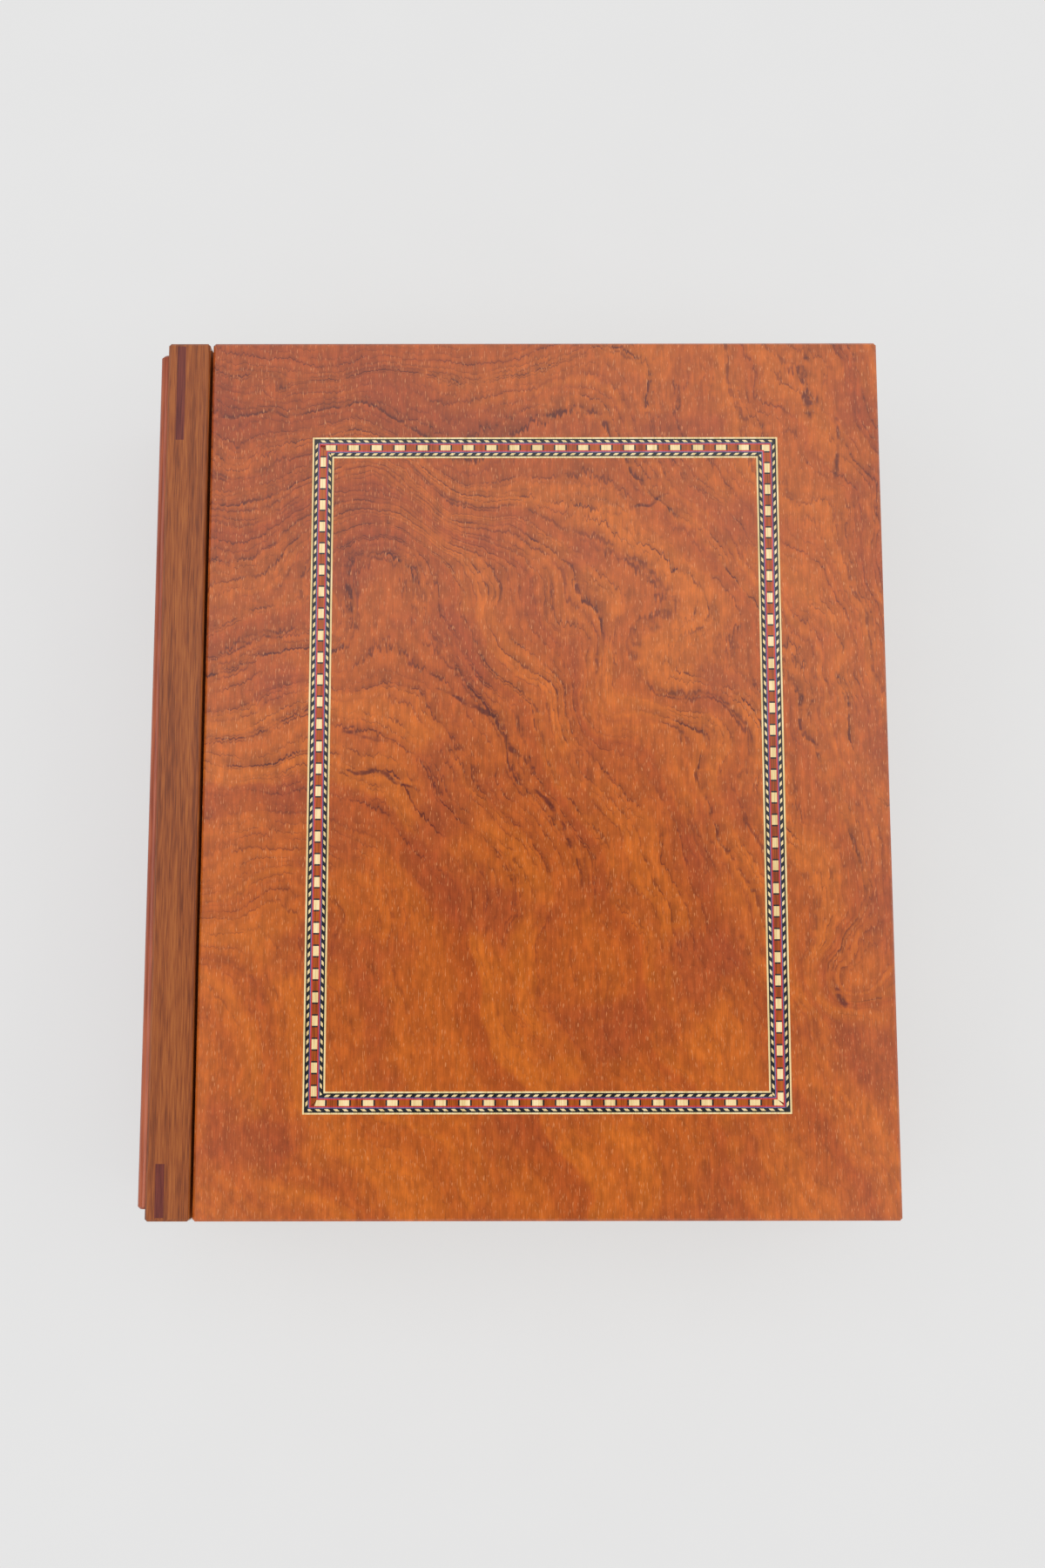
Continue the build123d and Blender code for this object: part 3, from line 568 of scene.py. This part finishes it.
# %% Give every CAD piece its finish
slot_of = {piece["node"]: piece["material_slot"] for piece in frame["record"]["subparts"]}
across_cedar = straight_wood("spanish_cedar_across", CEDAR, "X", 0.9, bare, 0.04)
across_maple = straight_wood("maple_wall_across", MAPLE, "X", 0.5, oiled)
turned = {"head_lining": across_cedar, "tail_lining": across_cedar}
turned |= {"head_wall": across_maple, "tail_wall": across_maple}
for name, node in nodes.items():
    finish = turned.get(name, finishes[slot_of[name]])
    node.data.materials.clear()
    node.data.materials.append(finish)
print("dressed", len(nodes), "CAD pieces")

# %% [markdown]
# ## Small prisms for the inlay
# Every cell of the banding is a small closed block. All blocks of one wood are one mesh: the four corners
# of each are rows of one array, the tops and bottoms are stacked under each other, and the six faces of
# every block are the same six rows of numbers plus eight times the block's own number.

# %% Blocks from four-cornered plans
def new_piece(name, vertices, faces, finish, body, slot):
    """Puts arrays of vertices and faces into a mesh that rides on a body."""
    mesh = bpy.data.meshes.new(name)
    mesh.from_pydata(vertices.tolist(), [], faces.tolist())
    mesh.materials.append(finish)
    piece = bpy.data.objects.new(name, mesh)
    bpy.context.scene.collection.objects.link(piece)
    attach(piece, body)
    print(name, "has", len(faces), "faces")
    return piece


def blocks(name, plans, low, high, finish, body, slot):
    """Plans is an array of n by 4 by 2, anticlockwise from above. Each becomes a block from low to high."""
    count = len(plans)
    bottom = np.concatenate([plans, np.full((count, 4, 1), low)], axis=2)
    top = np.concatenate([plans, np.full((count, 4, 1), high)], axis=2)
    vertices = np.concatenate([bottom, top], axis=1).reshape(-1, 3)
    sides = [[i, (i + 1) % 4, (i + 1) % 4 + 4, i + 4] for i in range(4)]
    faces = np.array([[3, 2, 1, 0], [4, 5, 6, 7], *sides])
    faces = (faces[None] + 8 * np.arange(count)[:, None, None]).reshape(-1, 4)
    return new_piece(name, vertices, faces, finish, body, slot)


# %% [markdown]
# ## Cells along the four sides
# The banding is worked out on one straight side, as a run s along it and a step v inwards from its outer
# edge. A mitre cuts the run at s = v and s = length - v. Then each side is turned onto its place: going
# clockwise round the cover, from above, the inside is always on the right hand.

# %% Sides of the banding
outer_low, outer_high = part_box("banding_outer_line")
LEFT, TAIL, BAND_BOTTOM = outer_low
RIGHT, HEAD, BAND_TOP = outer_high
PROUD = 0.02 * MM
SLIVER = 0.1 * MM
# One repeat of the core's pattern, and where its first cream block starts: head, right, tail, left
SIDE_REPEAT = (8.17 * MM, 7.88 * MM, 8.17 * MM, 7.88 * MM)
SIDE_START = (4.66 * MM, 1.77 * MM, 2.52 * MM, 6.04 * MM)

# Each side: its starting corner, its direction, the direction of its inside, its length
band_sides = (
    (np.array([LEFT, HEAD]), np.array([1.0, 0.0]), np.array([0.0, -1.0]), RIGHT - LEFT),
    (np.array([RIGHT, HEAD]), np.array([0.0, -1.0]), np.array([-1.0, 0.0]), HEAD - TAIL),
    (np.array([RIGHT, TAIL]), np.array([-1.0, 0.0]), np.array([0.0, 1.0]), RIGHT - LEFT),
    (np.array([LEFT, TAIL]), np.array([0.0, 1.0]), np.array([1.0, 0.0]), HEAD - TAIL),
)


def on_side(side, start_out, end_out, start_in, end_in, step_out, step_in):
    """Plans between two steps inwards. Mitres cut the runs, and what is left under 0.1 mm is dropped."""
    corner, along, inwards, length = side
    s_out = np.clip(np.stack([start_out, end_out], axis=1), step_out, length - step_out)
    s_in = np.clip(np.stack([start_in, end_in], axis=1), step_in, length - step_in)
    kept = (s_out[:, 1] - s_out[:, 0] > SLIVER) & (s_in[:, 1] - s_in[:, 0] > SLIVER)
    runs = np.stack([s_out[kept, 0], s_in[kept, 0], s_in[kept, 1], s_out[kept, 1]], axis=1)
    steps = np.array([step_out, step_in, step_in, step_out])
    return corner + runs[:, :, None] * along + steps[None, :, None] * inwards


def whole_sides(step_out, step_in):
    """The four mitred lengths of one plain line."""
    lengths = []
    for side in band_sides:
        start, end = np.array([0.0]), np.array([side[3]])
        lengths.append(on_side(side, start, end, start, end, step_out, step_in))
    return np.concatenate(lengths)


print("banding is", round((RIGHT - LEFT) / MM, 2), "by", round((HEAD - TAIL) / MM, 2), "mm")

# %% [markdown]
# ## The two rope lines
# A rope line is a black line with cream lozenges let into it, which lean one way on the outer line and
# the other way on the inner one. The black line is the CAD piece. The lozenges stand 0.02 mm above it,
# too little to be seen or felt, so that the two surfaces don't fight.

# %% Lozenges
LINE_WIDTH = 0.55 * MM
ROPE_WIDTH = 1.47 * MM
CORE_WIDTH = 3.56 * MM
# Eight lozenges go to three repeats of the core
LOZENGES, REPEATS = 8, 3
LOZENGE_SHARE = 0.46
LOZENGE_LEAN = 0.8 * MM
# How much black shows between a lozenge and the cream line
LOZENGE_EDGE = 0.5 * MM
LOZENGE_HEIGHT = 0.74 * MM
LOZENGE_DEPTH = 0.1 * MM


def lozenges(step_out, lean):
    """Slanted cells at an even pitch. The inner end of each is moved along by the lean."""
    shift = lean / 2
    step_in = step_out + LOZENGE_HEIGHT
    plans = []
    for side, repeat in zip(band_sides, SIDE_REPEAT):
        pitch = repeat * REPEATS / LOZENGES
        starts = np.arange(0.0, side[3], pitch)
        ends = starts + LOZENGE_SHARE * pitch
        edges = (starts - shift, ends - shift, starts + shift, ends + shift)
        plans.append(on_side(side, *edges, step_out, step_in))
    return np.concatenate(plans)


outer_rope = LINE_WIDTH + LOZENGE_EDGE
inner_rope = LINE_WIDTH + ROPE_WIDTH + CORE_WIDTH + (ROPE_WIDTH - LOZENGE_EDGE - LOZENGE_HEIGHT)
for name, step, lean in (("outer", outer_rope, LOZENGE_LEAN), ("inner", inner_rope, -LOZENGE_LEAN)):
    plans = lozenges(step, lean)
    low, high = BAND_TOP - LOZENGE_DEPTH, BAND_TOP + PROUD
    blocks("banding_" + name + "_lozenges", plans, low, high, inlay["holly_cream"], "lid", "banding_line")


# %% [markdown]
# ## The chequered core
# Between the ropes run a violet line, a red line, a row of blocks, a red line and a violet line. In the
# row a cream block, a black bar, a brown block and a black bar repeat. The boundaries between cells are
# worked out once for each side, and the mitre cuts through the cells that meet it, as a maker's saw does.

# %% Lines and blocks of the core
VIOLET_WIDTH = 0.29 * MM
RED_WIDTH = 0.5 * MM
CREAM_SHARE = 0.43
BAR_SHARE = 0.07

core_start = LINE_WIDTH + ROPE_WIDTH
core_end = core_start + CORE_WIDTH
row_start = core_start + VIOLET_WIDTH + RED_WIDTH
row_end = core_end - VIOLET_WIDTH - RED_WIDTH
cell_shares = (
    ("cream", CREAM_SHARE),
    ("bar", BAR_SHARE),
    ("brown", 1 - CREAM_SHARE - 2 * BAR_SHARE),
    ("bar", BAR_SHARE),
)


def core_cells(kind_wanted):
    """Cells of one kind on all sides, cut at the mitres. Each starts where the shares before it end."""
    plans = []
    for side, repeat, begin in zip(band_sides, SIDE_REPEAT, SIDE_START):
        first = begin - repeat
        for kind, share in cell_shares:
            if kind == kind_wanted:
                starts = np.arange(first, side[3], repeat)
                ends = starts + share * repeat
                plans.append(on_side(side, starts, ends, starts, ends, row_start, row_end))
            first += share * repeat
    return np.concatenate(plans)


def line_pair(step_from_row, width):
    """A plain line on each side of the row of blocks."""
    outer = whole_sides(row_start - step_from_row - width, row_start - step_from_row)
    inner = whole_sides(row_end + step_from_row, row_end + step_from_row + width)
    return np.concatenate([outer, inner])


core_pieces = {
    "banding_violet_lines": (line_pair(RED_WIDTH, VIOLET_WIDTH), "holly_dyed_violet"),
    "banding_red_lines": (line_pair(0.0, RED_WIDTH), "holly_dyed_red"),
    "banding_cream_blocks": (core_cells("cream"), "holly_cream"),
    "banding_black_bars": (core_cells("bar"), "ebonised_pear"),
    "banding_brown_blocks": (core_cells("brown"), "padauk_block"),
}
for name, (plans, wood) in core_pieces.items():
    piece = blocks(name, plans, BAND_BOTTOM, BAND_TOP, inlay[wood], "lid", "banding_core")
    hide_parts("banding_chequer_core")


# %% [markdown]
# ## The edges of the pages
# On the head, the tail and the hollow fore edge the box shows the edges of the pages, which a maker cuts as
# fine grooves along the wood. The grooved skin is one surface: a profile of rounded ridges runs up the
# height, and each of its points is carried round the three sides, a little outside the walls. A second,
# plain sheet behind it and rims between the two close it to a thin solid. Its maple is streaked along both
# level axes, because one piece goes round the corners, and has a fine dark line of painted shade at the
# bottom of each groove.

# %% Maple with painted shade in the grooves
PAGE_PITCH = 1.1 * MM
head_low, head_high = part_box("head_wall")
PAGE_LOW, PAGE_HIGH = head_low[2], head_high[2]
PAGES = int((PAGE_HIGH - PAGE_LOW) / PAGE_PITCH)
GROOVE_SHADE = span(0.05, 0.17, 0.75, 0.0)


def lined_maple():
    """The distance from the nearest groove makes a dark line of painted shade in it, darker on some pages
    than on others.
    """
    material = straight_wood("maple_page_edges", ("#CDAA7A", "#E0C298", "#EBD4AE"), "XY", 0.25, oiled)
    tree = material.node_tree
    base_colour = tree.nodes["Principled BSDF"].inputs["Base Color"]
    wood = base_colour.links[0].from_socket
    height = add(tree, "SeparateXYZ", None, {0: add(tree, "TexCoord").outputs["Object"]}).outputs["Z"]
    above = add(tree, "Math", {"operation": "SUBTRACT"}, {0: height, 1: float(PAGE_LOW)}).outputs[0]
    pitch = float((PAGE_HIGH - PAGE_LOW) / PAGES)
    count = add(tree, "Math", {"operation": "DIVIDE"}, {0: above, 1: pitch}).outputs[0]
    beside = add(tree, "Math", {"operation": "PINGPONG"}, {0: count, 1: 0.5}).outputs[0]
    line = add(tree, "MapRange", SMOOTH, {"Value": beside, **GROOVE_SHADE}).outputs[0]
    nearest = add(tree, "Math", {"operation": "ROUND"}, {0: count}).outputs[0]
    own = add(tree, "TexWhiteNoise", {"noise_dimensions": "1D"}, {"W": nearest}).outputs["Value"]
    share = add(tree, "Math", {"operation": "MULTIPLY"}, {0: line, 1: own}).outputs[0]
    # Painted shade: a dark line at the bottom of each groove
    lined = add(tree, "Mix", {"data_type": "RGBA"}, {0: share, 6: wood, 7: linear("#8A6238")}).outputs[2]
    tree.links.new(lined, base_colour)
    return material


print("pages", PAGES)

# %% Grooved skin of the pages
PAGE_RIDGE = 0.3 * MM
PAGE_BACKING = 0.3 * MM
ROWS_PER_PAGE = 6
HOLLOW = 3.5 * MM
SPINE_SIDE = head_low[0]
PAGE_END = head_high[1]
PAGE_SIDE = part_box("fore_edge_wall")[1][0]


def page_skin():
    """At height z the ridge stands out by |sin|, and the fore edge is set back by a circular arc's depth."""
    low, high = PAGE_LOW, PAGE_HIGH
    z = np.linspace(low, high, PAGES * ROWS_PER_PAGE + 1)
    ridge = PAGE_RIDGE * np.abs(np.sin(np.pi * (z - low) / (high - low) * PAGES)) + PROUD
    half = (high - low) / 2
    radius = (half**2 + HOLLOW**2) / (2 * HOLLOW)
    depth = np.sqrt(radius**2 - (z - low - half) ** 2) - (radius - HOLLOW)
    sheets = []
    for out in (ridge, np.full_like(ridge, -PAGE_BACKING)):
        fore = PAGE_SIDE - depth + out
        end = PAGE_END + out
        start = np.full_like(z, SPINE_SIDE)
        columns = [(start, end), (fore, end), (fore, -end), (start, -end)]
        sheets.append(np.stack([np.stack([x, y, z], axis=1) for x, y in columns], axis=1))
    vertices = np.concatenate(sheets).reshape(-1, 3)
    front, back = np.arange(len(vertices)).reshape(2, len(z), 4)

    def quads(a, b, c, d):
        return np.stack([a, b, c, d], axis=-1).reshape(-1, 4)

    faces = [
        quads(front[:-1, :-1], front[1:, :-1], front[1:, 1:], front[:-1, 1:]),
        quads(back[:-1, :-1], back[:-1, 1:], back[1:, 1:], back[1:, :-1]),
        quads(front[-1, :-1], back[-1, :-1], back[-1, 1:], front[-1, 1:]),
        quads(front[0, :-1], front[0, 1:], back[0, 1:], back[0, :-1]),
        quads(front[:-1, 0], back[:-1, 0], back[1:, 0], front[1:, 0]),
        quads(front[:-1, 3], front[1:, 3], back[1:, 3], back[:-1, 3]),
    ]
    return vertices, np.concatenate(faces)


new_piece("page_edges", *page_skin(), lined_maple(), "case", "page_wood")

# %% [markdown]
# ## The dial of the hygrometer
# A hair hygrometer shows relative humidity from 0 to 100 percent over three quarters of a turn. Its face
# looks down when the lid is shut, and the top of the scale is towards the fore edge, which is up when the
# lid stands open. Ticks are small blocks and the numbers are plain text made into a mesh.

# %% Ticks of the dial
dial_low, dial_high = (np.array(corner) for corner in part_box("hygrometer_dial"))
DIAL_CENTRE = (dial_low[:2] + dial_high[:2]) / 2
DIAL_FACE = dial_low[2]
PRINT = 0.04 * MM
SWEEP = math.radians(135)
TICKS = 51
TICKS_TO_A_LONG_ONE = 5
TICK_OUTER = 18.0 * MM
LONG_TICK, SHORT_TICK = 2.6 * MM, 1.5 * MM
LONG_HALF_WIDTH, SHORT_HALF_WIDTH = 0.16 * MM, 0.09 * MM


def scale_ticks():
    """Radial blocks at angles from -135 to 135 degrees, counted from +X towards +Y; each fifth is longer."""
    turn = np.linspace(-SWEEP, SWEEP, TICKS)
    is_long = np.arange(TICKS) % TICKS_TO_A_LONG_ONE == 0
    inner = TICK_OUTER - np.where(is_long, LONG_TICK, SHORT_TICK)
    outer = np.full(TICKS, TICK_OUTER)
    half = np.where(is_long, LONG_HALF_WIDTH, SHORT_HALF_WIDTH)
    out = np.stack([np.cos(turn), np.sin(turn)], axis=1)
    side = np.stack([-np.sin(turn), np.cos(turn)], axis=1)
    ends = ((inner, -1), (outer, -1), (outer, 1), (inner, 1))
    corners = [DIAL_CENTRE + out * reach[:, None] + side * (sign * half)[:, None] for reach, sign in ends]
    return np.stack(corners, axis=1)


blocks("dial_ticks", scale_ticks(), DIAL_FACE - PRINT, DIAL_FACE, finishes["pointer"], "lid", "pointer")

# %% Numbers of the dial
NUMBER_RADIUS = 13.2 * MM
NUMBER_SIZE = 3.4 * MM
PERCENT_RADIUS = 9.0 * MM
PERCENT_SIZE = 4.0 * MM


def dial_text(words, size, centre):
    """Text as a mesh whose right is +Y and whose top is +X, so that it reads from below."""
    curve = bpy.data.curves.new("text", "FONT")
    curve.body = words
    curve.size = size
    curve.align_x = "CENTER"
    curve.align_y = "CENTER"
    curve.extrude = PRINT / 2
    holder = bpy.data.objects.new("text", curve)
    bpy.context.scene.collection.objects.link(holder)
    bpy.context.view_layer.update()
    mesh = bpy.data.meshes.new_from_object(holder)
    bpy.data.objects.remove(holder)
    flat = np.empty(len(mesh.vertices) * 3)
    mesh.vertices.foreach_get("co", flat)
    right, top, depth = flat.reshape(-1, 3).T
    placed = np.stack([centre[0] + top, centre[1] + right, DIAL_FACE - PRINT / 2 - depth], axis=1)
    mesh.vertices.foreach_set("co", placed.ravel())
    mesh.materials.append(finishes["pointer"])
    mesh.update()
    return mesh


def dial_label(name, words, size, centre):
    """A printed word on the dial, as a piece of the lid."""
    piece = bpy.data.objects.new(name, dial_text(words, size, centre))
    bpy.context.scene.collection.objects.link(piece)
    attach(piece, "lid")


for humidity in range(0, 101, 10):
    turn = SWEEP * (humidity - 50) / 50
    spot = DIAL_CENTRE + NUMBER_RADIUS * np.array([math.cos(turn), math.sin(turn)])
    dial_label(f"dial_number_{humidity}", str(humidity), NUMBER_SIZE, spot)
dial_label("dial_percent", "%", PERCENT_SIZE, DIAL_CENTRE - np.array([PERCENT_RADIUS, 0.0]))
print("dial has", TICKS, "ticks")

# %% [markdown]
# ## Painted shade in the slots of the screws
# Each hinge screw has a straight slot. It shows only while the lid is open, so it is drawn as a thin dark
# bar of painted shade let into the face of the head, a hair proud of it, not as a recess.

# %% Painted shade in the screw slots
SLOT_LENGTH = 2.8 * MM
SLOT_WIDTH = 0.45 * MM
SLOT_DEPTH = 0.3 * MM
SCREWS_PER_LEAF = 3


def screw_slots(node, outside):
    """Plans of the dark bars of painted slot shade in the X-Y plane, one at the middle of each of the evenly
    spaced heads.
    """
    low, high = (np.array(corner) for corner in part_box(node))
    head = (high[2] - low[2]) / 2
    y = np.linspace(low[1] + head, high[1] - head, SCREWS_PER_LEAF)
    face = high[0] if outside > 0 else low[0]
    x0, x1 = sorted((face - outside * SLOT_DEPTH, face + outside * PROUD))
    ends = ((x0, -1), (x1, -1), (x1, 1), (x0, 1))
    corners = [np.stack([np.full_like(y, x), y + sign * SLOT_LENGTH / 2], axis=1) for x, sign in ends]
    middle = (low[2] + high[2]) / 2
    return np.stack(corners, axis=1), middle - SLOT_WIDTH / 2, middle + SLOT_WIDTH / 2


for node, outside, body in (("hinge_screws_case", 1, "case"), ("hinge_screws_lid", -1, "lid")):
    # Painted shade: a black bar stands where the shade inside each slot would be
    blocks(node + "_slot_shades", *screw_slots(node, outside), inlay["ebonised_pear"], body, "brass")


# %% [markdown]
# ## Floor and light
# The picture has a plain pale ground without a visible edge. The floor is a wide sheet that shows the
# camera mostly its own even tone, and keeps a soft shadow of the box. The world is a pale room with a
# bright overhead light. The lacquer mirrors that light towards the edges of the cover, which turn paler,
# as in the picture. In the middle, where the cover would mirror the place of the camera, the light has a
# dark gap, so the colour of the wood stays deep. Two large soft lamps, high on the left and on the right,
# round off the long edges.

# %% Floor
FLOOR_HALF = 3.0
GROUND = "#E4E4E4"
# How much of what the camera sees of the floor is the even tone
EVEN_SHARE = 0.72
matt = {"Roughness": 0.9, "Specular IOR Level": 0.0}

floor_mesh = bpy.data.meshes.new("floor")
floor_signs = np.array([(-1, -1, 0), (1, -1, 0), (1, 1, 0), (-1, 1, 0)])
floor_mesh.from_pydata((FLOOR_HALF * floor_signs).tolist(), [], [(0, 1, 2, 3)])
floor = bpy.data.objects.new("floor", floor_mesh)
bpy.context.scene.collection.objects.link(floor)
paper = grainy("paper_ground", ("#E2E2E2", "#E4E4E4"), 40.0, matt, 0.01)
tree = paper.node_tree
even = add(tree, "Emission", None, {"Color": linear(GROUND), "Strength": 1.0}).outputs[0]
watched = add(tree, "LightPath").outputs["Is Camera Ray"]
share = add(tree, "Math", {"operation": "MULTIPLY"}, {0: watched, 1: EVEN_SHARE}).outputs[0]
lit_paper = tree.nodes["Principled BSDF"].outputs[0]
softened = add(tree, "MixShader", None, {0: share, 1: lit_paper, 2: even}).outputs[0]
tree.links.new(softened, tree.nodes["Material Output"].inputs["Surface"])
floor_mesh.materials.append(paper)
floor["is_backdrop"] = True
print("floor is", 2 * FLOOR_HALF, "m wide")

# %% World
# Radiance of the room, of the overhead light, and of the dark gap in it
ROOM = 0.7
OVERHEAD = 1.25
GAP = 0.06
# The cosines of the angles from straight up at which the gap and the light begin and end
GAP_INNER, GAP_OUTER = math.cos(math.radians(3.0)), math.cos(math.radians(15.0))
LIGHT_INNER, LIGHT_OUTER = math.cos(math.radians(27.0)), math.cos(math.radians(45.0))
NUMBERS = {"data_type": "FLOAT"}

world = bpy.data.worlds.new("studio")
bpy.context.scene.world = world
world.use_nodes = True
sky = world.node_tree
direction = add(sky, "TexCoord").outputs["Generated"]
upness = add(sky, "SeparateXYZ", None, {0: direction}).outputs["Z"]
in_light = {"Value": upness, **span(LIGHT_OUTER, LIGHT_INNER, 0.0, 1.0)}
above = add(sky, "MapRange", SMOOTH, in_light).outputs[0]
in_gap = {"Value": upness, **span(GAP_OUTER, GAP_INNER, 0.0, 1.0)}
gap = add(sky, "MapRange", SMOOTH, in_gap).outputs[0]
overhead = add(sky, "Mix", NUMBERS, {0: gap, 2: OVERHEAD, 3: GAP}).outputs[0]
lit = add(sky, "Mix", NUMBERS, {0: above, 2: ROOM, 3: overhead}).outputs[0]

# The camera, glass and metal see the ground's tone, except where a reflection meets the overhead light
path = add(sky, "LightPath").outputs
around = add(sky, "Math", {"operation": "SUBTRACT"}, {0: 1.0, 1: above}).outputs[0]
mirrored = {0: path["Is Glossy Ray"], 1: around}
mirrored = add(sky, "Math", {"operation": "MULTIPLY"}, mirrored).outputs[0]
straight = {0: path["Is Camera Ray"], 1: path["Is Transmission Ray"]}
straight = add(sky, "Math", {"operation": "MAXIMUM"}, straight).outputs[0]
seen = add(sky, "Math", {"operation": "MAXIMUM"}, {0: straight, 1: mirrored}).outputs[0]
strength = add(sky, "Mix", NUMBERS, {0: seen, 2: lit, 3: linear(GROUND)[0]}).outputs[0]
background = sky.nodes["Background"]
background.inputs["Color"].default_value = (1.0, 1.0, 1.0, 1.0)
sky.links.new(strength, background.inputs["Strength"])
print("room", ROOM, "overhead", OVERHEAD)

# %% Lamps
LAMP_WATTS = 4.6
LAMP_WIDTH, LAMP_LENGTH = 0.7, 1.4
LAMP_HEIGHT = 1.2
LAMP_OUT = 1.1

for name, x in (("lamp_left", -LAMP_OUT), ("lamp_right", LAMP_OUT)):
    lamp_data = bpy.data.lights.new(name, "AREA")
    lamp_data.shape = "RECTANGLE"
    lamp_data.size = LAMP_WIDTH
    lamp_data.size_y = LAMP_LENGTH
    lamp_data.energy = LAMP_WATTS
    lamp = bpy.data.objects.new(name, lamp_data)
    lamp.location = (x, 0.0, LAMP_HEIGHT)
    lamp.rotation_euler = (0, math.atan2(x, LAMP_HEIGHT), 0)
    bpy.context.scene.collection.objects.link(lamp)
    print(name, LAMP_WATTS, "W")


# %% [markdown]
# ## The size of the finished box
# The lowest and highest corners of the finished box, with all that was added, are printed.

# %% Print the size and finish
print("visual box", plain_box())
